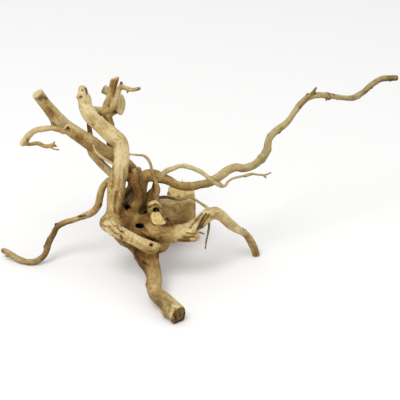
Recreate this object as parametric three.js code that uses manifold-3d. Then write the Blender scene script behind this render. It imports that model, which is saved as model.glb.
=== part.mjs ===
// Spiderwood root: the bare, sandblasted root crown of a shrub, with its bent roots standing out all round.
// It grew as one piece, so it is one solid. Units are millimetres, +Z is up, and the origin is on the
// ground under the middle of the piece, which stands on four of its roots.
import * as THREE from "three";
import { mergeVertices } from "three/addons/utils/BufferGeometryUtils.js";
import Module from "manifold-3d";

const wasm = await Module();
wasm.setup();

// The roots are plotted as they look from in front and a little above: [right, up, near, radius].
const SIGHT_ELEVATION = THREE.MathUtils.degToRad(28);
const SIGHT_DISTANCE = 1500;
const CROWN_HEIGHT = 70.6; // from the ground to the point that the sight is aimed at
const MIDDLE = new THREE.Vector2(-1.1, -19.13); // the middle of the footprint, from that same point

// Wood swells and twists as it grows. Each wave is a share of the radius, with its number of lobes round the
// root, and its pitch in radians for each radius of length.
const SWELLING = [
  { share: 0.07, lobes: 2, pitch: 0.35, turn: 1 },
  { share: 0.05, lobes: 3, pitch: 0.55, turn: -1.7 },
  { share: 0.05, lobes: 0, pitch: 0.8, turn: 2.3 },
];
const SEED_TURN = 2.399963; // the golden angle, so that no two roots swell alike

// The rings of a root stand a share of its radius apart, within these limits.
const RING_STEP = { share: 1.6, least: 4.2, most: 9 };
const SIDES = { base: 4.6, perRadius: 0.75, most: 12 };
const TIP_RINGS = [0.5, 0.9]; // where the rings of a round tip stand, as shares of a quarter turn
const TIP_FLAT = 0.08; // the share of a round tip's section that its last ring keeps
const TEAR = { depth: 0.22, teeth: 4 }; // how far a torn end's fibres stand out, in radii
const CURVE_STEPS = 24; // for each point of the plot
const WELD = 1e-4;
const GROUND_SIZE = 1200;

// A torn end is ragged, a sawn end is flat, and a round end is worn or a growing tip.
const ROOTS = [
  // The crown, where all the roots meet.
  { name: "crown", tip: "round", path: [
    [-87, -12, 2, 10], [-80, -20, 2, 12.6], [-68, -27, 1, 14.5], [-56, -33, 2, 14], [-46, -39, 3, 12],
    [-39.6, -43, 4, 10.1], [-32.2, -45.6, 5, 8.5],
  ] },
  { name: "crown_shoulder", tip: "round", path: [
    [-80, -18, 8, 10.5], [-88, -21.5, 13, 9.4], [-94, -24, 16, 8], [-97.9, -25.4, 17, 6.6],
  ] },
  // The stout pale root that rises in front and leans to the left.
  { name: "upright", tip: "round", path: [
    [-84.6, -24, 9, 10.6], [-84, -6, 11, 8.2], [-83.4, 12, 14, 8.3], [-80.4, 28, 18, 8.2],
    [-78.6, 42, 21, 7.3], [-80.8, 57, 24, 7.5], [-88, 64.4, 25, 8], [-99, 74.4, 25, 8.3],
    [-110, 85, 24, 7.7], [-114.4, 93.3, 22, 7.1], [-116.6, 100.9, 21, 6.2], [-118.4, 107.6, 20, 4.8],
    [-118.9, 114, 19, 3.6],
  ] },
  { name: "upright_spur", tip: "round", path: [
    [-113.6, 99, 22, 3.6], [-119.2, 101.6, 24, 3.2], [-123, 104, 25, 2.6],
  ] },
  // The stout root that goes back to the left and ends in a saw cut.
  { name: "sawn_root", tip: "sawn", path: [
    [-70, -12, -10, 8], [-67, 2, -14, 6.8], [-66, 16, -13, 6], [-67.4, 28, -8, 6.2],
    [-78.2, 37.3, -5, 7.3], [-91.8, 45.4, -2, 6.6], [-104.8, 53.3, 0, 6.9], [-117.8, 62.4, 4, 7.4],
    [-130.2, 71.2, 9, 7.5], [-141.8, 80.7, 15, 7], [-152, 92.3, 22, 5.9], [-162.9, 107, 29, 6.1],
  ] },
  { name: "side_branch", tip: "round", path: [
    [-136, 74, 11, 3.8], [-141.4, 71, 14, 3], [-149.2, 71.8, 16, 2.9], [-157.7, 71, 17, 2.9],
    [-165.7, 69.2, 18, 2.9], [-171.1, 64.8, 18, 3.1], [-175, 59.4, 18, 3.2], [-179, 54.6, 18, 2.8],
  ] },
  { name: "side_branch_tip", tip: "round", path: [
    [-175.5, 57.1, 18, 2.5], [-171.1, 55.9, 18, 2], [-162.1, 56.5, 18, 2], [-155, 53.9, 18, 2],
    [-149, 54.5, 18, 1.9], [-146.2, 56.5, 19, 1.2], [-145.4, 58.5, 20, 0.8],
  ] },
  { name: "side_fork_middle", tip: "round", path: [
    [-150, 54.6, 18, 1.7], [-146, 54.6, 17, 1.3], [-143, 53.6, 16, 0.9],
  ] },
  { name: "side_fork_lower", tip: "round", path: [
    [-151, 53.9, 18, 1.5], [-147.4, 51.9, 19, 1.1], [-144, 50.5, 19, 1], [-140.6, 50.3, 19, 0.7],
  ] },
  // The smaller root under it, which has grown into it at its top.
  { name: "strut", tip: "round", path: [
    [-78, -6, -6, 5], [-81, 9, -8, 4.4], [-85, 21, -9, 4.1], [-91, 28.7, -8, 4], [-97.8, 35.4, -7, 3.9],
    [-103, 41, -5, 3.9], [-107.2, 46.6, -3, 4.2], [-110, 52, -1, 4],
  ] },
  { name: "strut_rootlet", tip: "round", path: [
    [-81, 33, 15, 1.6], [-88, 36.6, 12.5, 1.5], [-94.3, 40.2, 11, 1.3], [-99.6, 43.7, 10.5, 1.3],
    [-105, 50, 10, 1.2], [-106.8, 55.6, 11, 0.8],
  ] },
  // The root behind, which forks near its top into a split stub, a hooked twig, a burl and a blunt arm.
  { name: "rear_root", tip: "round", path: [
    [-84, 42, -4, 6.4], [-87, 52, -8, 5.3], [-88.5, 60, -10, 5], [-89.3, 68, -11, 4.7],
    [-90.5, 77, -12, 4.4], [-93, 85, -12, 4.7], [-95.5, 90, -12, 4.4],
  ] },
  { name: "split_stub", tip: "torn", path: [
    [-95.6, 86, -12, 4.6], [-93.4, 94, -11, 4.1], [-89.2, 103.6, -10, 4], [-86.6, 114.3, -9, 4],
    [-84.8, 122.2, -8.5, 3.9],
  ] },
  { name: "hooked_twig", tip: "round", path: [
    [-95.5, 87.5, -11, 3.8], [-89.8, 90.4, -6, 3], [-85.4, 97.3, -4, 2.7], [-82.7, 105.4, -3, 2.4],
    [-79.4, 112.8, -2, 2.4], [-74.6, 112.2, -1, 2.2], [-68.4, 110.4, 0, 2.1], [-63, 110.8, 0, 2],
    [-59.4, 112, 0, 1.6],
  ] },
  { name: "hooked_twig_bud", tip: "round", path: [
    [-80, 111.2, -2, 2.2], [-78.9, 115.4, -2, 1.9], [-78.6, 118.6, -2, 1.4],
  ] },
  { name: "hooked_twig_thorn", tip: "round", path: [[-72, 110, -1, 1.5], [-72.8, 107, -1, 0.8]] },
  { name: "burl", tip: "sawn", path: [
    [-92, 85.8, -16, 4.5], [-89, 91.8, -19, 8.7], [-84.4, 96, -17, 10.3], [-79.6, 97.4, -14, 9.9],
  ] },
  { name: "rear_chip", tip: "sawn", path: [
    [-89, 105, -11, 2.6], [-92.6, 108.2, -13, 3.6], [-97, 111, -14, 4.2],
  ] },
  { name: "blunt_arm", tip: "round", path: [
    [-94.5, 87.6, -12, 4.6], [-101, 89, -12, 4.4], [-107, 89.6, -6, 4.4], [-111, 90.6, 4, 4.4],
    [-112, 92.6, 14, 4],
  ] },
  { name: "bridge", tip: "round", path: [
    [-108.5, 58, -2, 2.8], [-110, 67, -5, 2.3], [-111, 78, -4, 2.4], [-110, 88, -1, 2.6],
  ] },
  // The long root that arches out of the crown and wanders off to the right.
  { name: "long_root", tip: "round", path: [
    [-62, -14, -2, 6.4], [-59, 0, -1, 5.2], [-58.4, 12, 0, 5], [-56.8, 21.2, 0, 6.3],
    [-50.4, 24.6, 1, 6.1], [-41, 22.7, 2, 5.5], [-31, 19.4, 2, 5], [-23, 15.4, 1, 4.5],
    [-13.5, 13.4, 0, 4.4], [-0.5, 14.9, -2, 4.1], [9.5, 17.5, -4, 4], [19, 23.5, -5, 4.1],
    [28, 29.9, -6, 4.5], [36, 32.3, -7, 4.4], [44, 31.7, -8, 4.1], [53.6, 35.1, -10, 4.2],
    [61.6, 41.9, -12, 4], [66.6, 49.9, -14, 3.6], [68.4, 58, -16, 3.4], [72, 65.1, -18, 3.5],
    [79.4, 71.5, -20, 3.5], [88.4, 79.1, -22, 3.3], [94.9, 88.2, -24, 3.2], [101, 96.7, -25, 3.1],
    [108.4, 102.7, -26, 3.1], [117.3, 104.9, -27, 3], [128.8, 104.5, -28, 3], [140.3, 102.4, -28, 2.8],
    [153, 102.4, -28, 2.9], [162, 107.1, -28, 2.8], [171, 114.7, -27, 2.8], [181, 120.9, -26, 2.7],
    [191, 122, -25, 2.8], [198.6, 122.3, -24, 2.8],
  ] },
  { name: "long_root_spur", tip: "round", path: [
    [107, 102.3, -25, 2.1], [112.6, 107.3, -23, 1.7], [116.6, 112.9, -22, 1],
  ] },
  { name: "long_root_thorn", tip: "round", path: [[125.4, 103.9, -26, 1.7], [126.8, 99.1, -25, 0.9]] },
  { name: "long_rootlet", tip: "round", path: [
    [-38.6, 22.6, 5, 3], [-34, 28.8, 8, 2.7], [-27.1, 31.4, 10, 2.5], [-21.7, 33.6, 11, 2.4],
    [-17.2, 34.2, 12, 2.4], [-11, 33, 12, 2.3], [-6.4, 31.4, 12, 2.2], [-0.3, 29, 12, 2.2],
    [5.8, 24.6, 11, 2.2], [11.2, 20, 10, 2.2], [16.5, 16.2, 9, 1.9], [22.6, 13.9, 8, 1.6],
    [26, 15.1, 8, 1.4], [27.8, 18, 8, 1.4], [31.8, 21.2, 8, 1.3], [39.5, 23.3, 8, 1.3],
    [47.1, 24.8, 8, 1.3], [53.2, 26, 8, 1.2], [59.4, 25.2, 8, 1.1], [66.3, 25.4, 8, 1],
    [71.6, 27.9, 8, 0.8],
  ] },
  { name: "long_rootlet_sliver", tip: "round", path: [
    [9.5, 23.6, 10.5, 1.1], [14.5, 20.8, 10, 1], [19.8, 17.4, 8.5, 0.9], [22.6, 14.4, 8, 0.9],
  ] },
  // The strand that loops in front of the crown's window.
  { name: "loop_strand", tip: "round", path: [
    [-79, 23, 13, 4.4], [-73, 24, 11, 4.2], [-66.6, 18.8, 12, 4.3], [-62.4, 11.4, 13, 4.5],
    [-61.6, 3.6, 13, 4.6], [-62.8, -4, 12, 4.8], [-66.6, -10.5, 10, 5.3], [-70, -18, 6, 6],
  ] },
  { name: "window_back", tip: "round", path: [
    [-71, -16, -6, 8], [-70.5, -4, -9, 6.5], [-70.5, 6, -10, 5], [-70, 13, -10, 3.6],
  ] },
  { name: "window_nub", tip: "round", path: [
    [-64, 18, 6, 3.2], [-65, 25, 9, 2.7], [-65.8, 31.4, 11, 2.2],
  ] },
  { name: "window_knob", tip: "round", path: [
    [-63.4, 23, -2, 3.6], [-61.6, 29, 1, 2.7], [-60.6, 32.6, 2, 2],
  ] },
  { name: "inner_spur", tip: "round", path: [
    [-46, -12, -4, 6], [-45.2, -1, -6, 4.2], [-45.8, 8, -7, 2.9], [-46, 14, -5, 2], [-44.4, 19.6, -1, 2],
  ] },
  { name: "inner_web", tip: "round", path: [
    [-54, -12, -6, 6], [-53, -3, -8, 4.6], [-51.6, 4, -8, 3.4], [-47.6, 10.5, -7, 2.2],
  ] },
  // The broken stub in front, with a torn face, and the rootlet that climbs from it.
  { name: "front_stub", tip: "torn", path: [
    [-46, -14, 4, 10], [-43.6, -15.6, 18, 7.6], [-42.6, -17.4, 31, 6.8],
  ] },
  { name: "front_knob", tip: "round", path: [
    [-47, -10, 10, 5.6], [-46.6, -7.4, 22, 5.2], [-46.4, -6.2, 31, 4.6],
  ] },
  { name: "climbing_rootlet", tip: "round", path: [
    [-44, -8, 22, 4], [-43, -1.6, 21, 3], [-43.4, 4, 20, 2.6], [-42.4, 10.2, 19, 2.5],
    [-43.8, 16.4, 18, 2.1], [-46.3, 23.1, 17, 1.8], [-48.1, 29.5, 17, 1.6], [-49.7, 36.1, 17, 1.5],
    [-52.5, 41.5, 17, 1.4], [-57.1, 44.7, 17, 1.3], [-61.6, 45.1, 18, 1.1], [-67.7, 45.5, 19, 1],
    [-75.7, 46.5, 20, 1],
  ] },
  { name: "stub_sliver", tip: "round", path: [
    [-41.6, -5, 27, 1.7], [-38.4, -11, 29, 1.6], [-34.4, -17.6, 28, 1.7], [-31, -22, 27, 1.9],
    [-28, -26, 25, 1.6],
  ] },
  { name: "cross_rootlet", tip: "round", path: [
    [-43.4, 1.8, 17, 1.8], [-39.6, 2.6, 8, 1.6], [-34.4, 3, 0, 1.6], [-27.8, 1.8, -5, 1.6],
    [-21.4, 0.8, -6, 1.5], [-15.4, 1.6, -6, 1.5], [-11.2, 3.4, -5, 1.5], [-5.5, 0.6, -2, 1.5],
    [0.9, -3.4, 2, 1.4], [6.6, -7.4, 5, 1.4], [9.6, -12, 6, 1.4],
  ] },
  // The stout root to the right, torn where its lower arm broke off, and the leg that bends down from it.
  { name: "torn_arm", tip: "torn", path: [
    [-62, -24, 8, 8.5], [-54, -27.6, 15, 8.4], [-46, -31, 19, 8.3], [-36, -33, 21, 7.9],
    [-24, -33.2, 21, 7.6], [-13, -33.2, 20, 7.3], [-3.4, -34, 19, 6.2],
  ] },
  { name: "right_leg", tip: "round", path: [
    [-18, -32, 19, 6.8], [-9, -28, 17, 6.7], [-1, -22, 13, 6.6], [7, -15.6, 8, 6.3], [15, -13.2, 1, 6.1],
    [21.5, -15.9, -7, 5.3], [28.1, -22.3, -14, 4.8], [36.5, -28.7, -22, 4.2], [44.7, -33.5, -29, 4],
    [50.5, -40.5, -35, 3.9], [54.1, -47.9, -39, 3.6], [56.5, -56.5, -42.5, 3.2],
  ] },
  { name: "hanging_rootlet", tip: "round", path: [
    [8, -16, 4, 1.5], [9, -23, 4, 1.2], [8.4, -31, 5, 1.1], [6.4, -40, 6, 1], [5.2, -49.2, 7, 0.8],
  ] },
  { name: "torn_fibre", tip: "round", path: [[-5, -31, 14, 1.1], [0, -32.4, 13, 1], [5, -34.4, 12, 0.7]] },
  // The short broken root that lies across the front of the crown.
  { name: "front_log", tip: "round", path: [
    [-93.4, -23.6, 17, 6.6], [-86, -28.6, 21, 6.9], [-77.6, -33.6, 24, 6.6], [-68, -38.6, 25, 6.3],
    [-59.4, -43.2, 26, 6], [-50, -46.8, 26, 5.4], [-41.6, -48, 26, 4.4],
  ] },
  { name: "log_burr", tip: "round", path: [
    [-83, -32, 20, 4.4], [-79.4, -37.6, 17, 3.6], [-76.4, -40.6, 14, 2.6],
  ] },
  // The foot that comes forward and ends in a saw cut.
  { name: "front_foot", tip: "sawn", path: [
    [-60, -30, 2, 13], [-56.6, -43, 6, 12.5], [-53.5, -52, 12, 11.3], [-52.5, -61, 20, 9.8],
    [-48.3, -70, 27, 8.6], [-46.4, -78, 34, 7.9], [-46.6, -86, 41, 7.9], [-43.6, -93.8, 49, 8.1],
    [-35.8, -100.5, 57, 8.3], [-28.1, -108.9, 66, 8.8], [-21.1, -116.5, 73.6, 9.4],
  ] },
  { name: "foot_knot", tip: "round", path: [[-57, -50, 12, 5], [-61, -55, 16, 3.8], [-63, -57, 17, 2.8]] },
  // The thin root that swings out low to the left.
  { name: "left_foot", tip: "round", path: [
    [-78, 2, -4, 5], [-84, 12, -8, 4.2], [-90.8, 19.6, -13, 3.6], [-96.4, 13.4, -16, 3.6],
    [-99.8, 4, -18, 3.4], [-101.8, -4.7, -19, 3.5], [-107.1, -11.8, -20, 3.3], [-116.3, -16.4, -21, 3.2],
    [-126.5, -20, -22, 3], [-136.7, -23, -22.5, 2.9], [-142.9, -27.1, -23, 2.9],
    [-147, -35.3, -23.5, 2.9], [-151, -42.4, -24, 2.9], [-153.1, -49.6, -24.5, 3],
    [-156.3, -55.7, -25, 3.1], [-162.4, -60.4, -25.5, 3.1], [-170.4, -62.2, -26, 3.1],
    [-179.6, -59.6, -28, 3], [-187.8, -55.2, -31, 2.9], [-194.6, -51.4, -34, 2.8],
    [-199, -50.2, -36, 2.6],
  ] },
  { name: "left_foot_nub", tip: "round", path: [[-192, -53.4, -32, 1.8], [-193.6, -57.2, -31, 1.2]] },
  // The thick root behind, torn off at its top, and the stub that it stands on.
  { name: "rear_stump", tip: "torn", path: [
    [-54, -16, -8, 10.5], [-44, -13, -24, 12], [-33, -12.4, -38, 13.9], [-24, -11.4, -47, 15.3],
    [-20.4, -5, -52, 14], [-20, 3, -55, 13.4], [-20.4, 10, -57, 12.6],
  ] },
  { name: "stump_bulge", tip: "round", path: [
    [-34.9, -12, -40, 12], [-24.9, -12, -46, 12.5], [-14.9, -12, -49, 11.5], [-6.9, -12.5, -51, 9.5],
  ] },
  { name: "rear_foot", tip: "round", path: [
    [-30, -15, -47, 11], [-29, -23, -55, 9.6], [-28.6, -30, -66, 8.4], [-28, -37.5, -78.5, 7.4],
  ] },
];

// Blind holes that rot and lost rootlets have left, cut in after the roots are joined.
const HOLLOWS = [
  { name: "eye", path: [[-60, -26.4, 26, 4.2], [-60, -26.2, 15, 3.6], [-61, -25, 7, 2.4]] },
  { name: "stub_hollow", path: [[-43.4, -9.4, 38, 2.6], [-44, -9.8, 27, 2.4], [-45, -10, 19, 1.6]] },
  { name: "lost_twig", path: [[-131.5, 71.6, 22, 2.6], [-132, 71.8, 15, 2], [-132.6, 72, 11, 1.2]] },
  { name: "spur_hollow", path: [[-120.4, 103.6, 31, 1.7], [-119.6, 103.2, 25, 1.2]] },
];

// A point of the plot in the part's own frame. What is nearer looks larger, so it is drawn in to match.
function place([right, up, near]) {
  const shrink = 1 - near / SIGHT_DISTANCE;
  const sin = Math.sin(SIGHT_ELEVATION);
  const cos = Math.cos(SIGHT_ELEVATION);
  return new THREE.Vector3(
    right * shrink - MIDDLE.x,
    up * shrink * sin - near * cos - MIDDLE.y,
    up * shrink * cos + near * sin + CROWN_HEIGHT,
  );
}

// The rings of a root: where each one stands along the curve, closer together where a tip rounds off.
function ringStations(length, tipRadius, meanRadius, tip) {
  const straight = tip === "round" ? Math.max(length - tipRadius, length * 0.5) : length;
  const step = THREE.MathUtils.clamp(meanRadius * RING_STEP.share, RING_STEP.least, RING_STEP.most);
  const count = Math.max(2, Math.ceil(straight / step));
  const stations = Array.from({ length: count + 1 }, (_, i) => (straight * i) / count);
  if (tip === "round") {
    for (const turn of TIP_RINGS) {
      stations.push(straight + (length - straight) * Math.sin((turn * Math.PI) / 2));
    }
  }
  return stations;
}

// One root as a closed solid: a three.js cylinder whose rings are set along the root's curve.
function grow({ path, tip }, seed) {
  const curve = new THREE.CatmullRomCurve3(path.map(place), false, "centripetal");
  curve.arcLengthDivisions = path.length * CURVE_STEPS;
  const length = curve.getLength();
  const radii = path.map((p) => p[3] * (1 - p[2] / SIGHT_DISTANCE));
  const mean = radii.reduce((sum, r) => sum + r, 0) / radii.length;
  const tipRadius = radii[radii.length - 1];
  const stations = ringStations(length, tipRadius, mean, tip);
  const sides = Math.min(SIDES.most, Math.round(SIDES.base + SIDES.perRadius * mean));
  // A section of few sides is drawn a little fuller, so that it has the area of a round one.
  const facet = (2 * Math.PI) / sides;
  const fullness = Math.sqrt(facet / Math.sin(facet));

  const rings = [];
  let side = null;
  for (const s of stations) {
    const share = Math.min(1, s / length);
    const along = curve.getTangentAt(share);
    side ??= new THREE.Vector3(0, 0, 1).cross(along).normalize();
    side = side.clone().addScaledVector(along, -side.dot(along)).normalize();
    const plotted = curve.getUtoTmapping(share) * (path.length - 1);
    const i = Math.min(path.length - 2, Math.floor(plotted));
    let radius = THREE.MathUtils.lerp(radii[i], radii[i + 1], plotted - i);
    const left = length - s;
    if (tip === "round" && left < tipRadius) {
      const over = 1 - left / tipRadius;
      radius *= Math.sqrt(Math.max(TIP_FLAT, 1 - over * over));
    }
    const centre = curve.getPointAt(share);
    rings.push({ centre, along, side, across: along.clone().cross(side), radius, q: s / mean });
  }

  const solid = new THREE.CylinderGeometry(1, 1, 1, sides, rings.length - 1);
  const position = solid.getAttribute("position");
  const v = new THREE.Vector3();
  for (let n = 0; n < position.count; n++) {
    v.fromBufferAttribute(position, n);
    const ring = rings[Math.round((v.y + 0.5) * (rings.length - 1))];
    const angle = Math.atan2(v.x, v.z);
    const lump = SWELLING.reduce(
      (sum, wave) => sum + wave.share * Math.sin(wave.lobes * angle + wave.turn * seed + wave.pitch * ring.q),
      1,
    );
    const reach = Math.hypot(v.x, v.z);
    const out = reach * ring.radius * lump * fullness;
    const torn = tip === "torn" && ring === rings[rings.length - 1];
    const ragged = torn ? TEAR.depth * ring.radius * Math.sin(TEAR.teeth * angle + seed) * reach : 0;
    v.copy(ring.centre)
      .addScaledVector(ring.side, out * Math.cos(angle))
      .addScaledVector(ring.across, out * Math.sin(angle))
      .addScaledVector(ring.along, ragged);
    position.setXYZ(n, v.x, v.y, v.z);
  }
  return toManifold(solid);
}

function toManifold(geometry) {
  geometry.deleteAttribute("normal");
  geometry.deleteAttribute("uv");
  const merged = mergeVertices(geometry, WELD);
  return new wasm.Manifold(new wasm.Mesh({
    numProp: 3,
    vertProperties: merged.getAttribute("position").array,
    triVerts: new Uint32Array(merged.index.array),
  }));
}

function toGeometry(manifold) {
  const mesh = manifold.getMesh();
  const geometry = new THREE.BufferGeometry();
  geometry.setAttribute("position", new THREE.BufferAttribute(mesh.vertProperties, 3));
  geometry.setIndex(new THREE.BufferAttribute(mesh.triVerts, 1));
  geometry.computeVertexNormals();
  return geometry;
}

function buildRoot() {
  let wood = ROOTS.map((root, i) => grow(root, i * SEED_TURN)).reduce((a, b) => a.add(b));
  HOLLOWS.forEach((hollow, i) => {
    wood = wood.subtract(grow({ ...hollow, tip: "round" }, i * SEED_TURN));
  });
  // The roots that it stands on are worn flat where they touch the ground.
  const ground = new THREE.BoxGeometry(GROUND_SIZE, GROUND_SIZE, GROUND_SIZE);
  wood = wood.subtract(toManifold(ground.translate(0, 0, -GROUND_SIZE / 2)));
  // Where roots close round a space inside the crown, it is solid wood.
  return wood.decompose().reduce((a, b) => (b.volume() > a.volume() ? b : a));
}

const material = new THREE.MeshStandardMaterial({ color: 0xb79c6c, roughness: 0.82, metalness: 0 });
const root = new THREE.Mesh(toGeometry(buildRoot()), material);
root.name = "spiderwood_root";

const part = new THREE.Group();
part.add(root);

export default part;
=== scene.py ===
# Spiderwood root: the bare, sandblasted root crown of a shrub, which stands on four of its own roots.
# It grew as one piece, so its wood is one mesh. The fine splinters of its torn ends are a second.
import itertools
import math

import bpy
import numpy as np
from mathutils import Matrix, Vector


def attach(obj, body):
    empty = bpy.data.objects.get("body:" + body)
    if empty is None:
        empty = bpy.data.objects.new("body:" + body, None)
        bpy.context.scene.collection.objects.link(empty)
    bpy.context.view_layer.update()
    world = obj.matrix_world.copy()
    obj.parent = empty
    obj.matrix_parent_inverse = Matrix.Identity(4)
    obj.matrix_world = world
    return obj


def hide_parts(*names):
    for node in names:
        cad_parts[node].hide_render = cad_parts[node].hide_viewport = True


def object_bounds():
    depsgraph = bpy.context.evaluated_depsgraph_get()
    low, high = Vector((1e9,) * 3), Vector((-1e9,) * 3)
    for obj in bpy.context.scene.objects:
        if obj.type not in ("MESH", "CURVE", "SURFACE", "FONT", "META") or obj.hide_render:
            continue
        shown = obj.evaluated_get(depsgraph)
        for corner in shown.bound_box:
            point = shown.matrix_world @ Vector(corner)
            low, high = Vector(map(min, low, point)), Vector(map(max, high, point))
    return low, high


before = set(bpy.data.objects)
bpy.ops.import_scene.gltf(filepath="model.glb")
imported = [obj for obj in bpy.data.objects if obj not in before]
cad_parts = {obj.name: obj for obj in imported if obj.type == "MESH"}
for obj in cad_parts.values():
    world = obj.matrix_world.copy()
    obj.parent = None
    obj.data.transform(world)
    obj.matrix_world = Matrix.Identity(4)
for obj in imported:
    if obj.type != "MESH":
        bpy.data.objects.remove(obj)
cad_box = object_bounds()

import openvdb
from mathutils import Vector

# The sight
# The wood is looked at from 28 degrees above the ground and 1.5 m away. Its roots are plotted in that view,
# in millimetres: [right, up, near, radius] from the point that the sight is aimed at. What is nearer looks
# larger in the view, so it is drawn in by as much.
MM = 0.001
SIGHT_ELEVATION = math.radians(28)
SIGHT_DISTANCE = 1500
SIGHT_WIDTH = 400
SENSOR = 36
CROWN_HEIGHT = 70.6
MIDDLE = np.array([-1.1, -19.13])
SIN, COS = math.sin(SIGHT_ELEVATION), math.cos(SIGHT_ELEVATION)
TO_EYE = np.array([0, -COS, SIN])

camera = bpy.data.objects.new("camera", bpy.data.cameras.new("camera"))
camera.data.sensor_width = SENSOR
camera.data.lens = SENSOR * SIGHT_DISTANCE / SIGHT_WIDTH
aim = np.array([-MIDDLE[0], -MIDDLE[1], CROWN_HEIGHT])
camera.location = (aim + SIGHT_DISTANCE * TO_EYE) * MM
camera.rotation_euler = (math.pi / 2 - SIGHT_ELEVATION, 0, 0)
bpy.context.scene.collection.objects.link(camera)
bpy.context.scene.camera = camera

# The crown
# The crown is where all the roots meet: a dense, twisted lump. Each root is a tapering tube round the curve
# through its plotted points, and grows into its neighbours with a fillet, as wood that has thickened does.
VOXEL = 0.65
REACH = 4.5
SAMPLE_STEP = {"share": 0.3, "least": 0.8, "most": 2}
# Each wave of the swelling: its share of the radius, its lobes round the root, its pitch and its turn.
SWELLING = [(0.07, 2, 0.35, 1), (0.05, 3, 0.55, -1.7), (0.05, 0, 0.8, 2.3)]
# The golden angle, so that no two roots swell alike.
SEED_TURN = 2.399963
MOST_SWELL = 1.2
CAP_ROUNDING = 1.2
SAW_ROUNDING = 0.8
CUT_REACH = 3
COARSE_TEAR = {"share": 0.3, "spacing": 4.5, "shift": 0}
FINE_TEAR = {"share": 0.16, "spacing": 1.5, "shift": 9}
FILLET = {"share": 0.5, "least": 0.6, "most": 4}
LATTICE_SIZE = 256
NOISE_GAIN = 1.6

draw = np.random.default_rng(11)
lattice = draw.permutation(LATTICE_SIZE)
slopes = draw.normal(size=(LATTICE_SIZE, 3))
slopes /= np.linalg.norm(slopes, axis=1)[:, None]
low_corner = np.array(cad_box[0]) / MM - REACH
cells = np.ceil((np.array(cad_box[1]) / MM + REACH - low_corner) / VOXEL).astype(int)
field = np.full(cells, REACH, np.float32)
turns = itertools.count()
roots = []


def place(path):
    """A path's points in the part's own frame, and the radius at each."""
    right, up, near, radius = np.asarray(path, float).T
    shrink = 1 - near / SIGHT_DISTANCE
    x = right * shrink - MIDDLE[0]
    y = up * shrink * SIN - near * COS - MIDDLE[1]
    z = up * shrink * COS + near * SIN + CROWN_HEIGHT
    return np.stack([x, y, z], axis=1), radius * shrink


def direction(right, up, near):
    """A direction of the view, in the part's own frame."""
    way = np.array([right, up * SIN - near * COS, up * COS + near * SIN])
    return way / np.linalg.norm(way)


def noise(x, y, z):
    """Smooth noise from about -1 to 1, the same on every run."""
    points = np.stack(np.broadcast_arrays(x, y, z), axis=1)
    cell = np.floor(points).astype(int)
    inside = points - cell
    ease = inside ** 3 * (inside * (inside * 6 - 15) + 10)
    total = np.zeros(len(points))
    for corner in np.ndindex(2, 2, 2):
        at = cell + corner
        slot = lattice[at[:, 0] % LATTICE_SIZE]
        slot = lattice[(slot + at[:, 1]) % LATTICE_SIZE]
        slot = lattice[(slot + at[:, 2]) % LATTICE_SIZE]
        weight = np.where(corner, ease, 1 - ease).prod(axis=1)
        total += weight * (slopes[slot] * (inside - corner)).sum(axis=1)
    return total * NOISE_GAIN


def smooth_min(a, b, width):
    """The lesser of two distances, with a fillet of that width where they meet."""
    near = np.maximum(width - np.abs(a - b), 0)
    return np.minimum(a, b) - near * near / (4 * width)


def smooth_max(a, b, width):
    return -smooth_min(-a, -b, width)


def follow(path):
    """Closely set places and radii along the curve through a path's points."""
    points, radii = place(path)
    outer = np.vstack([2 * points[0] - points[1], points, 2 * points[-1] - points[-2]])
    gap = np.sqrt(np.linalg.norm(np.diff(outer, axis=0), axis=1))
    places, widths = [], []
    for i in range(len(points) - 1):
        x0, x1, x2, x3 = outer[i:i + 4]
        g0, g1, g2 = gap[i:i + 3]
        leave = g1 * ((x1 - x0) / g0 - (x2 - x0) / (g0 + g1) + (x2 - x1) / g1)
        arrive = g1 * ((x2 - x1) / g1 - (x3 - x1) / (g1 + g2) + (x3 - x2) / g2)
        step = np.clip(radii[i] * SAMPLE_STEP["share"], SAMPLE_STEP["least"], SAMPLE_STEP["most"])
        count = max(2, math.ceil(np.linalg.norm(x2 - x1) / step))
        t = np.arange(count)[:, None] / count
        bend = 3 * (x2 - x1) - 2 * leave - arrive
        twist = 2 * (x1 - x2) + leave + arrive
        places.append(x1 + leave * t + bend * t ** 2 + twist * t ** 3)
        widths.append(radii[i] + (radii[i + 1] - radii[i]) * t[:, 0])
    return np.vstack(places + [points[-1:]]), np.concatenate(widths + [radii[-1:]])


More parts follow.
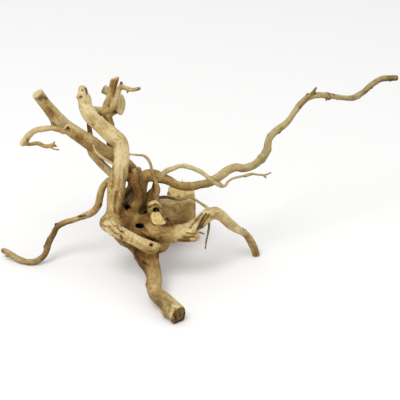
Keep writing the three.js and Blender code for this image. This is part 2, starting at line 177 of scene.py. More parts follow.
class Root:
    """One root: samples along its middle, and how far a point lies outside its skin."""

    def __init__(self, name, path, tip, seed, cut=None, rounding=SAW_ROUNDING, ragged=1):
        self.name, self.tip, self.seed, self.rounding, self.ragged = name, tip, seed, rounding, ragged
        self.mean = place(path)[1].mean()
        places, radii = follow(path)
        length = np.concatenate([[0], np.cumsum(np.linalg.norm(np.diff(places, axis=0), axis=1))])
        if tip == "round":
            # The middle stops short of a round tip by the tip's radius.
            end = max(length[-1] - radii[-1], length[-1] / 2)
            kept = length < end
            last = [np.interp(end, length, places[:, axis]) for axis in range(3)]
            radii = np.append(radii[kept], np.interp(end, length, radii))
            places = np.vstack([places[kept], last])
            length = np.append(length[kept], end)
        self.places, self.radii, self.length, self.end = places, radii, length, length[-1]
        along = np.gradient(places, axis=0)
        self.along = along / np.linalg.norm(along, axis=1)[:, None]
        self.cut = direction(*cut) if cut else self.along[-1]
        side = np.cross((0, 0, 1), self.along[0])
        self.side = np.empty_like(places)
        for i, forward in enumerate(self.along):
            side = side - side.dot(forward) * forward
            side = side / np.linalg.norm(side)
            self.side[i] = side
        self.across = np.cross(self.along, self.side)
        half = np.diff(length) / 2
        self.back = np.concatenate([[-np.inf], -half])
        self.front = np.concatenate([half, [0 if tip == "round" else np.inf]])

    def unroll(self, points, at):
        """Where points lie off the root's middle: sideways, across and past its end, and how far along it."""
        offset = points - self.places[at]
        ahead = (offset * self.along[at]).sum(axis=1)
        held = np.clip(ahead, self.back[at], self.front[at])
        sideways = (offset * self.side[at]).sum(axis=1)
        across = (offset * self.across[at]).sum(axis=1)
        return sideways, across, ahead - held, self.length[at] + held

    def past_cut(self, points, sideways, across, length):
        """How far points lie beyond the plane that the root ends at, or beyond the fibres of a torn end."""
        beyond = (points - self.places[-1]) @ self.cut
        if self.tip == "torn":
            for tear in (COARSE_TEAR, FINE_TEAR):
                spacing, shift = tear["spacing"], tear["shift"]
                ragged = noise(sideways / spacing, across / spacing, self.seed + shift)
                beyond = beyond - self.ragged * self.radii[-1] * tear["share"] * ragged
        return np.where(length > self.end - CUT_REACH * self.radii[-1], beyond, -REACH)

    def skin(self, points, at):
        """How far points lie outside the root's skin."""
        sideways, across, past, length = self.unroll(points, at)
        angle = np.arctan2(across, sideways)
        off = np.hypot(sideways, across)
        radius = np.interp(length, self.length, self.radii)
        round_the_end = np.minimum(1, off / radius)
        swell = 1
        for share, lobes, pitch, turn in SWELLING:
            wave = np.sin(lobes * angle + turn * self.seed + pitch * length / self.mean)
            swell = swell + share * wave * (round_the_end if lobes else 1)
        distance = smooth_max(np.hypot(off, past) - radius * swell, -length, CAP_ROUNDING)
        if self.tip != "round":
            distance = smooth_max(distance, self.past_cut(points, sideways, across, length), self.rounding)
        return distance


def around(root):
    """The field near a root: its place in the field, the cells close by, their points and nearest samples."""
    bound = root.radii * MOST_SWELL + REACH
    lows = (root.places - bound[:, None] - low_corner) / VOXEL
    highs = (root.places + bound[:, None] - low_corner) / VOXEL
    first = np.clip(np.floor(lows.min(axis=0)).astype(int), 0, cells)
    last = np.clip(np.ceil(highs.max(axis=0)).astype(int) + 1, 0, cells)
    axes = [low_corner[a] + VOXEL * np.arange(first[a], last[a]) for a in range(3)]
    nearest = np.full(last - first, np.inf, np.float32)
    at = np.zeros(last - first, np.int32)
    for i, centre in enumerate(root.places):
        starts = [np.searchsorted(axes[a], centre[a] - bound[i]) for a in range(3)]
        stops = [np.searchsorted(axes[a], centre[a] + bound[i]) for a in range(3)]
        close = tuple(slice(*pair) for pair in zip(starts, stops))
        x, y, z = ((axes[a][close[a]] - centre[a]) ** 2 for a in range(3))
        away = x[:, None, None] + y[:, None] + z
        nearer = away < nearest[close]
        nearest[close][nearer] = away[nearer]
        at[close][nearer] = i
    held = nearest < bound.max() ** 2
    where = np.nonzero(held)
    points = np.stack([axes[a][where[a]] for a in range(3)], axis=1)
    return tuple(slice(*pair) for pair in zip(first, last)), held, points, at[held]


def add(root, fillet, tone, grey, rough, face):
    """Joins a root to the wood. Lists run along it: from brown to cream, how grey it is, how splintery."""
    root.tone, root.grey, root.rough, root.face = tone, grey, rough, face
    roots.append(root)
    inside, held, points, at = around(root)
    width = fillet or np.clip(root.mean * FILLET["share"], FILLET["least"], FILLET["most"])
    distance = np.minimum(root.skin(points, at), REACH)
    field[inside][held] = smooth_min(field[inside][held], distance, width)


def grow(name, path, tip="round", tone=(0.5,), grey=(0,), rough=(0,), face=None, fillet=None, **end):
    """Grows one of the roots that the solid has, which swell in the same way there."""
    add(Root(name, path, tip, next(turns) * SEED_TURN, **end), fillet, tone, grey, rough, face)


grow("crown", [
    [-87, -12, 2, 10], [-80, -20, 2, 12.6], [-68, -27, 1, 14.5], [-56, -33, 2, 14], [-46, -39, 3, 12],
    [-39.6, -43, 4, 10.1], [-32.2, -45.6, 5, 8.5],
], tone=(0.34, 0.28, 0.26, 0.28, 0.32, 0.33), grey=(-0.2,))
grow("crown_shoulder", [
    [-80, -18, 8, 10.5], [-88, -21.5, 13, 9.4], [-94, -24, 16, 8], [-97.9, -25.4, 17, 6.6],
], tone=(0.3, 0.5), grey=(0, 0.2), rough=(0.1, 0.5))

# The upright
# The stout root in front rises and leans to the left. It is brown and fluted low down, and bleached at its
# top, where a lost twig has left a stub with a hole in it.
marks = []


def hollow(path, seed, rounding=SAW_ROUNDING):
    """Cuts a hole into the wood that has grown so far."""
    hole = Root("hollow", path, "round", seed * SEED_TURN)
    inside, held, points, at = around(hole)
    field[inside][held] = smooth_max(field[inside][held], -hole.skin(points, at), rounding)


def mark(on, points, width, **changes):
    """Notes a knot, split, stain or painted shade on the roots named, through points of the view, and what it
    changes.
    """
    marks.append((on.split(), points, width, changes))


grow("upright", [
    [-84.6, -24, 9, 10.6], [-84, -6, 11, 8.2], [-83.4, 12, 14, 8.3], [-80.4, 28, 18, 8.2],
    [-78.6, 42, 21, 7.3], [-80.8, 57, 24, 7.5], [-88, 64.4, 25, 8], [-99, 74.4, 25, 8.3],
    [-110, 85, 24, 7.7], [-114.4, 93.3, 22, 7.1], [-116, 100.9, 21, 6], [-117.4, 107.6, 20, 4.4],
    [-117.2, 114, 19, 3.7],
], tone=(0.37, 0.42, 0.6, 0.84, 0.72, 0.88, 0.75), rough=(0.3, 0.4, 0.15, 0, 0, 0, 0.1), fillet=6)
grow("upright_spur", [
    [-113.6, 99, 22, 3.6], [-119.2, 101.6, 24, 3.2], [-123, 104, 25, 2.6],
], "torn", tone=(0.75, 0.6), rough=(0.6,), fillet=0.5)
hollow([[-119.8, 103.6, 31, 1.9], [-118.8, 102.8, 25.4, 1.2]], 3)
hollow([[-124.4, 98.4, 26, 2], [-124, 108.6, 26, 1.8]], 3)
# Painted shade: the stub's hole is painted dark.
mark("upright_spur upright", [[-119.4, 103.2]], 2, tone=-0.6, dark=0.1)
mark("upright", [[-114, 111.4], [-113, 106]], 1.4, depth=0.5, dark=0.75, grey=0.5)
mark("upright", [[-117.6, 109.6]], 1.3, depth=0.4, dark=0.7)
mark("upright", [[-122.4, 98], [-121.5, 91]], 1.5, dark=0.15, grey=0.7)
mark("upright", [[-108, 76], [-107, 75]], 1.3, depth=0.1, dark=0.25, tone=-0.4)
mark("upright", [[-101.5, 71]], 1, dark=0.25)
mark("upright", [[-75.5, 68], [-73.6, 58]], 3.2, grey=0.9, tone=-0.15)
mark("upright", [[-75.5, 31], [-75.8, 18]], 1.5, depth=0.5, dark=0.3)
mark("upright", [[-79, 36], [-80.4, 22], [-79.6, 8]], 1.7, tone=-0.25)
mark("upright", [[-83.6, 8], [-84.6, 0], [-85.4, -12]], 1.7, depth=0.8, tone=-0.3)
mark("upright", [[-87.4, 32], [-86.6, 22], [-87.6, 12]], 1.6, depth=0.6, tone=-0.22)
mark("upright", [[-80, 28], [-79, 8]], 2.4, tone=0.1)
mark("upright", [[-76, 14], [-76.6, -6], [-80, -14]], 2, tone=-0.2)
mark("upright crown crown_face crown_shoulder", [[-80, -11], [-78, -16], [-74, -20]], 4, tone=-0.25)
mark("upright crown_shoulder", [[-91, 12], [-91.6, -4], [-94, -16]], 1.6, tone=0.12)

# The sawn root
# The stout root that goes back to the left is greenish with age and ends in a pale saw cut. A side branch
# with broken twigs stands off it, and a smaller root has grown into it from below.


def burr(name, path, tip="round", tone=(0.5,), grey=(0,), rough=(0,), face=None, fillet=None, **end):
    """Adds a lump, lip or flake that is too slight for the solid."""
    add(Root(name, path, tip, abs(path[0][0]), **end), fillet, tone, grey, rough, face)


grow("sawn_root", [
    [-70, -12, -10, 8], [-67, 2, -14, 6.8], [-66, 16, -13, 6], [-67.4, 28, -8, 6.2],
    [-78.2, 37.3, -5, 7.3], [-91.8, 45.4, -2, 6.6], [-104.8, 53.3, 0, 6.9], [-117.8, 62.4, 4, 7.4],
    [-130.2, 71.2, 9, 7.5], [-141.8, 80.7, 15, 7], [-152, 92.3, 22, 5.9], [-162.9, 107, 29, 6.1],
], "sawn", tone=(0.3, 0.3, 0.28, 0.35, 0.52, 0.62, 0.66, 0.66, 0.6),
     grey=(0, 0, 0, 0.05, 0.2, 0.35, 0.45, 0.5),
     cut=(-0.5, 0.7, 0.5), face=(0.85, 0.3, 0), rounding=0.4)
grow("side_branch", [
    [-136, 74, 11, 3.8], [-141.4, 71, 14, 3], [-149.2, 71.8, 16, 2.9], [-157.7, 71, 17, 2.9],
    [-165.7, 69.2, 18, 2.9], [-171.1, 64.8, 18, 3.1], [-175, 59.4, 18, 3.2], [-179, 54.6, 18, 2.8],
], tone=(0.45, 0.6, 0.7, 0.65, 0.6, 0.65, 0.85), grey=(0.2,))
grow("side_branch_tip", [
    [-175.5, 57.1, 18, 2.5], [-171.1, 55.9, 18, 2], [-162.1, 56.5, 18, 2], [-155, 53.9, 18, 2],
    [-149, 54.5, 18, 1.9], [-146.2, 56.5, 19, 1.2], [-145.4, 58.5, 20, 0.8],
], tone=(0.2, 0.3, 0.3, 0.5, 0.4))
grow("side_fork_middle", [
    [-150, 54.6, 18, 1.7], [-146, 54.6, 17, 1.3], [-143, 53.6, 16, 0.9],
], tone=(0.3, 0.1))
grow("side_fork_lower", [
    [-151, 53.9, 18, 1.5], [-147.4, 51.9, 19, 1.1], [-144, 50.5, 19, 1], [-140.6, 50.3, 19, 0.7],
], tone=(0.5, 0.5))
grow("strut", [
    [-78, -6, -6, 5], [-81, 9, -8, 4.4], [-85, 21, -9, 4.1], [-91, 28.7, -8, 4], [-97.8, 35.4, -7, 3.9],
    [-103, 41, -5, 3.9], [-107.2, 46.6, -3, 4.2], [-110, 52, -1, 4],
], tone=(0.3, 0.5, 0.6, 0.65, 0.6, 0.55), grey=(0, 0.1, 0.2))
grow("strut_rootlet", [
    [-81, 33, 15, 1.6], [-88, 36.6, 12.5, 1.5], [-94.3, 40.2, 11, 1.3], [-99.6, 43.7, 10.5, 1.3],
    [-105, 50, 10, 1.2], [-106.8, 55.6, 11, 0.8],
], tone=(0.65, 0.75, 0.8))
burr("branch_collar", [[-148, 81.6, 18, 2], [-146, 77, 15, 2.8], [-141, 71.6, 13, 3.4], [-134, 67.5, 12, 3]],
     tone=(0.3, 0.6, 0.5), rough=(0.6, 0.1))
burr("knot_lip", [
    [-137.4, 69.4, 14.6, 0.9], [-136, 71.6, 17, 1.3], [-133.4, 73.8, 18.2, 1.3], [-130.6, 74, 17.6, 1.1],
    [-129, 72, 16.6, 0.8],
], tone=(0.7, 0.85), rough=(0.2,), fillet=0.5)
hollow([[-132, 72.6, 21, 2], [-131.8, 72, 16.6, 1.5]], 2)
# Painted shade: the knot's hole is painted dark.
mark("sawn_root", [[-132.4, 72.4], [-131, 71.6]], 2, tone=-0.6, grey=-0.7, dark=0.3)
mark("sawn_root", [[-158, 101.6], [-146, 87], [-133, 73], [-118, 60.6], [-104, 51.6]], 4.6, tone=-0.2)
mark("sawn_root", [[-160.6, 101], [-157.4, 102.4], [-153.6, 101.6]], 2.6, dark=0.6, grey=0.3, tone=-0.25)
mark("sawn_root", [[-156, 98.5], [-150.6, 92], [-146, 86.5], [-141, 80.5]], 3, tone=-0.12, grey=-0.7)
mark("sawn_root", [[-155, 97], [-154, 95.5]], 1.5, depth=0.2, dark=0.35)
mark("sawn_root", [[-147.6, 88.4], [-146.6, 87.4]], 1.3, depth=0.2, dark=0.3)
mark("sawn_root", [[-138, 78.6], [-134.4, 74.4]], 4.4, grey=0.5, tone=-0.1, depth=0.3)
mark("sawn_root", [[-127.4, 68], [-119, 60]], 4.6, grey=-0.7)
mark("sawn_root", [[-126.6, 67.4]], 1.7, depth=0.2, dark=0.3)
mark("sawn_root", [[-123.5, 63.6]], 1.5, depth=0.25, dark=0.4, rim=0.2)
mark("sawn_root branch_collar", [[-146.6, 76.4], [-144.4, 72.6]], 1.5, depth=0.5, dark=0.5)
mark("side_branch", [[-172.6, 60.5], [-171, 57]], 1.8, depth=0.2, dark=0.6)
mark("strut", [[-101, 37], [-94, 29]], 1.6, depth=0.2, tone=-0.25)

# The rear root
# The root behind is brown, and painted darker still where the upright shades it: painted shadow. It forks
# near its top into a split stub, a hooked twig, a swollen burl and a bleached, blunt arm. A thin root has
# grown up to the arm from below.
grow("rear_root", [
    [-84, 42, -4, 6.4], [-87, 52, -8, 5.3], [-88.5, 60, -10, 5], [-89.3, 68, -11, 4.7],
    [-90.5, 77, -12, 4.4], [-93, 85, -12, 4.7], [-95.5, 90, -12, 4.4],
], tone=(0, -0.05, -0.05, -0.05, 0.18, 0.45), rough=(0.2,))
grow("split_stub", [
    [-95.6, 86, -12, 4.6], [-93, 94, -11, 3.7], [-89.4, 103.6, -10, 3.2], [-86.6, 114.3, -9, 3.6],
    [-84.8, 122.2, -8.5, 3.9],
], "torn", tone=(0.45, 0.4, 0.4, 0.42), rough=(0, 0.15, 0.2), cut=(-0.3, 1, 0.1), fillet=1, ragged=0.6)
grow("hooked_twig", [
    [-95.5, 87.5, -11, 3.8], [-89.8, 90.4, -6, 3], [-85.4, 97.3, -4, 2.7], [-82.7, 105.4, -3, 2.4],
    [-79.4, 112.8, -2, 2.4], [-74.6, 112.2, -1, 2.2], [-68.4, 110.4, 0, 2.1], [-63, 110.8, 0, 2],
    [-59.4, 112, 0, 1.6],
], tone=(0.5, 0.55, 0.65, 0.7, 0.65, 0.65, 0.6, 0.35), grey=(0, 0.2), fillet=1)
grow("hooked_twig_bud", [
    [-80, 111.2, -2, 2.2], [-78.9, 115.4, -2, 1.9], [-78.6, 118.6, -2, 1.4],
], tone=(0.3, 0))
grow("hooked_twig_thorn", [[-72, 110, -1, 1.5], [-72.8, 107, -1, 0.8]], tone=(0.5, 0.3))
grow("burl", [
    [-92, 85.8, -16, 4.5], [-89, 91.8, -19, 9], [-84, 96, -17, 11], [-79.4, 97.2, -14, 10.8],
], "sawn", tone=(0.5, 0.75, 0.75), grey=(0.2, 0.35), rough=(0.2,), rounding=4, face=(0.76, 0.12, 0))
grow("rear_chip", [
    [-89, 105, -11, 2.6], [-92.6, 108.2, -13, 3.6], [-97, 111, -14, 4.2],
], "sawn", tone=(0.5, 0.7), grey=(0.3, 0.6), face=(0.6, 0.6, 0))
grow("blunt_arm", [
    [-94.5, 87.6, -12, 4.6], [-101, 89, -12, 4.4], [-107, 89.6, -6, 4.4], [-111, 90.6, 4, 4.4],
    [-112, 92.6, 14, 4],
], tone=(0.6, 0.85, 0.95, 0.95), grey=(0.2, 0.4))
grow("bridge", [
    [-108.5, 58, -2, 2.8], [-110, 67, -5, 2.3], [-111, 78, -4, 2.4], [-110, 88, -1, 2.6],
], tone=(0.05, 0))
burr("split_spike", [[-84, 115, -8, 1.4], [-82.4, 119, -8, 1], [-81.2, 122, -8, 0.6]], tone=(0.2,))
mark("split_stub split_spike", [[-83.4, 119], [-85.4, 109.5], [-87.6, 101], [-91, 95]],
     1, depth=0.5, dark=0.5)
mark("split_stub", [[-86.6, 121], [-88.6, 108], [-91.4, 98]], 1.6, tone=-0.1, grey=-0.5)
mark("split_stub", [[-87.4, 119], [-89.4, 107]], 0.8, depth=0.3, dark=0.12)
mark("burl", [[-90, 91], [-86, 88.5], [-84, 87]], 1.8, depth=0.3, dark=0.5)
mark("burl", [[-82.4, 103], [-83, 94], [-84.6, 88]], 1, depth=0.3, tone=-0.3)
mark("burl", [[-79, 102], [-79, 92]], 1, depth=0.2, tone=-0.25)
mark("burl", [[-76.4, 104], [-74.6, 97]], 1.6, dark=0.2, grey=0.5)
mark("hooked_twig", [[-62, 109.6], [-58.6, 111]], 1.5, dark=0.45)
mark("hooked_twig_bud", [[-78.7, 116], [-78.6, 119]], 1.6, dark=0.6)
mark("rear_chip", [[-96, 113], [-97.2, 106]], 1.4, dark=0.5, grey=0.4)
# Painted shadow where the upright shades the arm and the rear root.
mark("blunt_arm", [[-106, 84], [-98, 84.5]], 2.4, tone=-0.5)
mark("rear_root blunt_arm", [[-100, 86.6], [-96, 82], [-93, 74]], 2.8, tone=-0.3, dark=0.15)

# The long root
# The long root arches out of the crown and wanders off to the right. It is greyish tan, with a spur, a thorn
# and a thin rootlet that runs along it.
KNUCKLE_SUNK = 0.6
KNUCKLE_TAPER = 0.7


def as_seen(points):
    """How far right and how far up in the view each point of the part lies."""
    x, y = points[:, 0] + MIDDLE[0], points[:, 1] + MIDDLE[1]
    z = points[:, 2] - CROWN_HEIGHT
    shrink = 1 - (z * SIN - y * COS) / SIGHT_DISTANCE
    return np.stack([x, y * SIN + z * COS], axis=1) / shrink[:, None]


def knuckle(on, *spots, radius=2.2, tone=(0.4,), grey=(0.3,), rough=(0.2,)):
    """Swells a grown root towards spots of the view, as wood does where a rootlet was lost."""
    root = next(root for root in roots if root.name == on)
    middle = as_seen(root.places)
    depth = (root.places[:, 2] - CROWN_HEIGHT) * SIN - (root.places[:, 1] + MIDDLE[1]) * COS
    for right, up in spots:
        at = np.linalg.norm(middle - (right, up), axis=1).argmin()
        foot = middle[at] * KNUCKLE_SUNK + np.array([right, up]) * (1 - KNUCKLE_SUNK)
        path = [[*foot, depth[at], radius], [right, up, depth[at], radius * KNUCKLE_TAPER]]
        burr(on, path, tone=tone, grey=grey, rough=rough)


grow("long_root", [
    [-62, -14, -2, 6.4], [-59, 0, -1, 5.2], [-58.4, 12, 0, 5], [-56.8, 21.2, 0, 6.3],
    [-50.4, 24.6, 1, 6.1], [-41, 22.7, 2, 5.5], [-31, 19.4, 2, 5], [-23, 15.4, 1, 4.5],
    [-13.5, 13.4, 0, 4.4], [-0.5, 14.9, -2, 4.1], [9.5, 17.5, -4, 4], [19, 23.5, -5, 4.1],
    [28, 29.9, -6, 4.5], [36, 32.3, -7, 4.4], [44, 31.7, -8, 4.1], [53.6, 35.1, -10, 4.2],
    [61.6, 41.9, -12, 4], [66.6, 49.9, -14, 3.6], [68.4, 58, -16, 3.4], [72, 65.1, -18, 3.5],
    [79.4, 71.5, -20, 3.5], [88.4, 79.1, -22, 3.3], [94.9, 88.2, -24, 3.2], [101, 96.7, -25, 3.1],
    [108.4, 102.7, -26, 3.1], [117.3, 104.9, -27, 3], [128.8, 104.5, -28, 3], [140.3, 102.4, -28, 2.8],
    [153, 102.4, -28, 2.9], [162, 107.1, -28, 2.8], [171, 114.7, -27, 2.8], [181, 120.9, -26, 2.7],
    [191, 122, -25, 2.8], [198.6, 122.3, -24, 2.8],
], tone=(0.15, 0.25, 0.34, 0.36, 0.45, 0.5, 0.46, 0.5, 0.48, 0.52, 0.5, 0.47, 0.33, 0.08),
     grey=(0, 0, 0.05, 0.1, 0.3, 0.5, 0.6, 0.6, 0.4, 0.6, 0.7, 0.8, 0.7, 0.5))
grow("long_root_spur", [
    [107, 102.3, -25, 2.1], [112.6, 107.3, -23, 1.7], [116.6, 112.9, -22, 1],
], tone=(0.3, 0.05), grey=(0.4, 0.1))
grow("long_root_thorn", [[125.4, 103.9, -26, 1.7], [126.8, 99.1, -25, 0.9]], tone=(0.3, 0.05),
     grey=(0.4, 0.2))
grow("long_rootlet", [
    [-38.6, 22.6, 5, 3], [-34, 28.8, 8, 2.7], [-27.1, 31.4, 10, 2.5], [-21.7, 33.6, 11, 2.4],
    [-17.2, 34.2, 12, 2.4], [-11, 33, 12, 2.3], [-6.4, 31.4, 12, 2.2], [-0.3, 29, 12, 2.2],
    [5.8, 24.6, 11, 2.2], [11.2, 20, 10, 2.2], [16.5, 16.2, 9, 1.9], [22.6, 13.9, 8, 1.6],
    [26, 15.1, 8, 1.4], [27.8, 18, 8, 1.4], [31.8, 21.2, 8, 1.3], [39.5, 23.3, 8, 1.3],
    [47.1, 24.8, 8, 1.3], [53.2, 26, 8, 1.2], [59.4, 25.2, 8, 1.1], [66.3, 25.4, 8, 1],
    [71.6, 27.9, 8, 0.8],
], tone=(0.5, 0.7, 0.75, 0.75, 0.7, 0.5, 0.5, 0.4), grey=(0.1, 0.4, 0.6, 0.5, 0.5, 0.5, 0.5))
grow("long_rootlet_sliver", [
    [9.5, 23.6, 10.5, 1.1], [14.5, 20.8, 10, 1], [19.8, 17.4, 8.5, 0.9], [22.6, 14.4, 8, 0.9],
], tone=(0.15,))
burr("spur_fork", [[113.4, 108, -23, 1.3], [116.4, 107, -23, 0.8]], tone=(0.1, 0.05), grey=(0.2,))
burr("rootlet_tip_fork", [[63.4, 25, 8, 1], [65.2, 23, 8, 0.9], [66.8, 22.2, 8, 0.8]], tone=(0.2,))
burr("rootlet_knuckle", [[44, 23.6, 8, 1.2], [49, 25.4, 8, 1.7], [53, 26.4, 8, 1.1]], tone=(0.4,))
knuckle("long_root", (36, 34.2), (69, 64.6), (59.8, 43.4), radius=3.2, tone=(0.45,), grey=(0.5,))
knuckle("long_root", (69.8, 50), (63.8, 38.6), (79, 68), radius=2.9, tone=(0.4,), grey=(0.5,))
knuckle("long_root", (107, 106), (127.6, 106.6), (128.6, 101), radius=2.4, tone=(0.35,), grey=(0.5,))
knuckle("long_root", (158.4, 102.8), (171.4, 112.8), radius=2.7, tone=(0.45,), grey=(0.7,))
knuckle("long_root", (190.4, 119.4), (195.6, 123.8), (181, 121), radius=2.3, tone=(0.3,), grey=(0.6,))
mark("long_root", [[100, 92], [106, 100], [112, 106]], 1.8, depth=0.2, tone=-0.35, grey=-0.3)
mark("long_root", [[96, 84], [101, 91]], 1.6, tone=-0.2)
mark("long_root", [[165, 107], [172, 112]], 1.8, tone=-0.2, dark=0.1)
mark("long_root", [[177, 121], [186, 124.6]], 1.3, tone=0.25)
mark("long_root", [[127, 106], [129.6, 100.6]], 1.8, depth=-0.45, tone=-0.1)
mark("long_root", [[129, 106], [130.6, 103.4], [130, 101]], 1.2, depth=0.4, dark=0.5)
mark("long_root", [[107, 105.4], [112, 108]], 1.3, depth=0.4, dark=0.5)
mark("long_root", [[79, 66.5], [81.6, 68]], 1.6, depth=0.2, dark=0.7)
mark("long_root", [[60, 43], [61.4, 42]], 1.4, dark=0.3)
mark("long_root", [[67, 40], [71, 46], [76, 52]], 1.6, depth=-0.4, grey=0.2)
mark("long_root", [[74, 66], [81, 73]], 1.6, depth=-0.3, grey=0.2)
mark("long_root", [[84, 62], [90, 68]], 2, depth=0.2, tone=-0.25)
mark("long_root", [[140, 103], [146, 101], [154, 103]], 1.6, tone=-0.2, depth=0.2)
mark("long_root", [[174, 112], [175, 111.4]], 1.4, depth=0.2, dark=0.35)
mark("long_root", [[190, 120], [194, 119], [199, 121]], 1.7, dark=0.6)
mark("long_root", [[61, 38], [69, 46], [72, 52]], 1.3, dark=0.3)
mark("long_root", [[42, 30], [52, 32], [58, 35]], 1.5, dark=0.25)

# The window
# Between the upright and the long root, thin strands loop round dark spaces that go right through the crown.
# The strands are brown, with stumps of twigs beside them. The space behind them, its corners and the crease
# beside the long root are painted dark: painted shade.
grow("loop_strand", [
    [-79, 23, 13, 4.4], [-73, 24, 11, 4.2], [-66.6, 18.8, 12, 4.3], [-62.4, 11.4, 13, 4.5],
    [-61.6, 3.6, 13, 4.6], [-62.8, -4, 12, 4.8], [-66.6, -10.5, 10, 5.3], [-70, -18, 6, 6],
], tone=(0.25, 0.15, 0.05, 0, 0, 0, 0.05, 0.15), fillet=2)
grow("window_back", [
    [-71, -16, -6, 8], [-70.5, -4, -9, 6.5], [-70.5, 6, -10, 5], [-70, 13, -10, 3.6],
], tone=(0.3,), grey=(0.15,))
grow("window_nub", [
    [-64, 18, 6, 3.2], [-65, 25, 9, 2.7], [-65.8, 31.4, 11, 2.2],
], tone=(0.4, 0.5), fillet=0.7)
grow("window_knob", [
    [-63.4, 23, -2, 3.6], [-61.6, 29, 1, 2.7], [-60.6, 32.6, 2, 2],
], tone=(0.25, 0.2), rough=(0.6,), fillet=0.7)
grow("inner_spur", [
    [-46, -12, -4, 6], [-45.2, -1, -6, 4.2], [-45.8, 8, -7, 2.9], [-46, 14, -5, 2], [-44.4, 19.6, -1, 2],
], tone=(0.1, 0.15))
grow("inner_web", [
    [-54, -12, -6, 6], [-53, -3, -8, 4.6], [-51.6, 4, -8, 3.4], [-47.6, 10.5, -7, 2.2],
], tone=(0.1, 0.15))
burr("window_twig", [[-76, 3, -2, 1.3], [-72, 7.4, -3, 1.2], [-67, 12, -4, 1.3]], tone=(0, 0, 0.1))
burr("window_prong", [[-72, 7.4, -3, 1], [-71.4, 10.6, -3, 0.9]], tone=(0,))
burr("window_floor", [[-77, -3, -2, 1.6], [-72.6, 0, -3, 1.6], [-68, 4.6, -4, 1.2]], tone=(0.4,), grey=(0.3,))
hollow([[-73.4, -7, 12, 3], [-72, -8, 2, 3.2], [-71, -9, -8, 2.6]], 5)
# Painted shade: the space that goes through the crown is painted near black.
mark("window_back loop_strand crown upright window_floor crown_face", [[-75, -5.6], [-71, -7.2]], 3.7, dark=1)
mark("window_back window_floor", [[-72, 12], [-73, 2]], 4, grey=0.2)
# Painted shade in two corners of the pocket, and in the crease beside the long root.
mark("crown window_back", [[-59, -7]], 1.6, dark=0.5)
mark("crown window_back", [[-56, -12.4]], 1.6, dark=0.5)
mark("loop_strand long_root inner_web", [[-62.6, 19], [-58, 11], [-56.4, 3], [-57, -6]],
     1, depth=0.5, dark=0.4)

# The broken stub
# A short root in front has broken off and left a torn, creamy face under a curled lip. A sliver runs down
# beside the face, and rootlets climb and trail from it. The crown swells a little next to it.
grow("front_stub", [
    [-46, -14, 4, 10], [-43.6, -15.6, 18, 7.6], [-42.6, -17.4, 31, 6.8],
], "torn", tone=(0.15, 0.25), rough=(0.2,), cut=(-0.05, 0.2, 1), fillet=1.5, ragged=0.6)
grow("front_knob", [
    [-47, -10, 10, 5.6], [-46.6, -7.4, 20, 4.8], [-46, -6.6, 27, 3.6],
], tone=(0.3, 0.5), fillet=1)
hollow([[-41.6, -8, 33, 2], [-38.6, -11.6, 33, 3], [-34.4, -16.8, 32, 3], [-31, -20.4, 31, 2.6]], 5)
grow("climbing_rootlet", [
    [-44, -8, 22, 4], [-43, -1.6, 21, 3], [-43.4, 4, 20, 2.6], [-42.4, 10.2, 19, 2.5],
    [-43.8, 16.4, 18, 2.1], [-46.3, 23.1, 17, 1.8], [-48.1, 29.5, 17, 1.6], [-49.7, 36.1, 17, 1.5],
    [-52.5, 41.5, 17, 1.4], [-57.1, 44.7, 17, 1.3], [-61.6, 45.1, 18, 1.1], [-67.7, 45.5, 19, 1],
    [-75.7, 46.5, 20, 1],
], tone=(0.1, 0.1, 0.15, 0.25, 0.3, 0.4, 0.5, 0.5, 0.5), grey=(0.3,), fillet=0.8)
grow("stub_sliver", [
    [-41.6, -5, 27, 1.7], [-38.4, -11, 29, 1.6], [-34.4, -17.6, 28, 1.7], [-31, -22, 27, 1.9],
    [-28, -26, 25, 1.6],
], tone=(0.2, 0, 0.1, 0), fillet=0.5)
grow("cross_rootlet", [
    [-43.4, 1.8, 17, 1.8], [-39.6, 2.6, 8, 1.6], [-34.4, 3, 0, 1.6], [-27.8, 1.8, -5, 1.6],
    [-21.4, 0.8, -6, 1.5], [-15.4, 1.6, -6, 1.5], [-11.2, 3.4, -5, 1.5], [-5.5, 0.6, -2, 1.5],
    [0.9, -3.4, 2, 1.4], [6.6, -7.4, 5, 1.4], [9.6, -12, 6, 1.4],
], tone=(0, 0, 0, 0.2, 0.45, 0.5, 0.5, 0.5), grey=(0.1, 0.1, 0.3, 0.6), fillet=0.4)
burr("curled_lip", [
    [-48, -13.4, 26.6, 1.3], [-49.6, -9.6, 28, 2], [-48.6, -6, 30, 2], [-46.6, -4.4, 31.6, 2.6],
    [-44, -3.6, 31, 2.1], [-41, -5.4, 31.8, 2.3], [-39, -8.4, 30.6, 1.4],
], tone=(0.1, 0.25, 0.4, 0.3, 0.2), rough=(2.2,), fillet=0.4)
burr("sliver_edge", [[-40, -8.6, 31, 0.9], [-37, -13.6, 31, 0.9], [-34.2, -18.6, 30, 0.7]],
     tone=(0.3, 0.15), fillet=0.4)
burr("lip_crumb", [[-52.4, -4, 28.6, 1.4], [-49.6, -3, 30, 1.4]], tone=(0.35,), rough=(1,), fillet=0.5)
burr("lip_curl", [[-50, -10.6, 28.4, 1.2], [-47.4, -8.4, 31.6, 1.1], [-46, -6.4, 33, 1]],
     tone=(0.4,), rough=(1,), fillet=0.4)
burr("crown_face", [[-76.6, -16, 8, 4], [-71, -19, 8.6, 5.8], [-64.6, -20, 8.6, 6]], tone=(0.12,),
     grey=(-0.2,), fillet=5)
burr("face_corner", [[-43, -19, 24, 5.6], [-40.4, -20.2, 30, 4.4]], "torn", rough=(0.4,),
     cut=(0.1, 0.1, 1), fillet=1.5, ragged=0.5)
burr("face_point", [[-40.6, -20.4, 27, 3.4], [-37.6, -21.4, 30, 2.4]], "torn", rough=(0.4,),
     cut=(0.1, 0.1, 1), fillet=1)
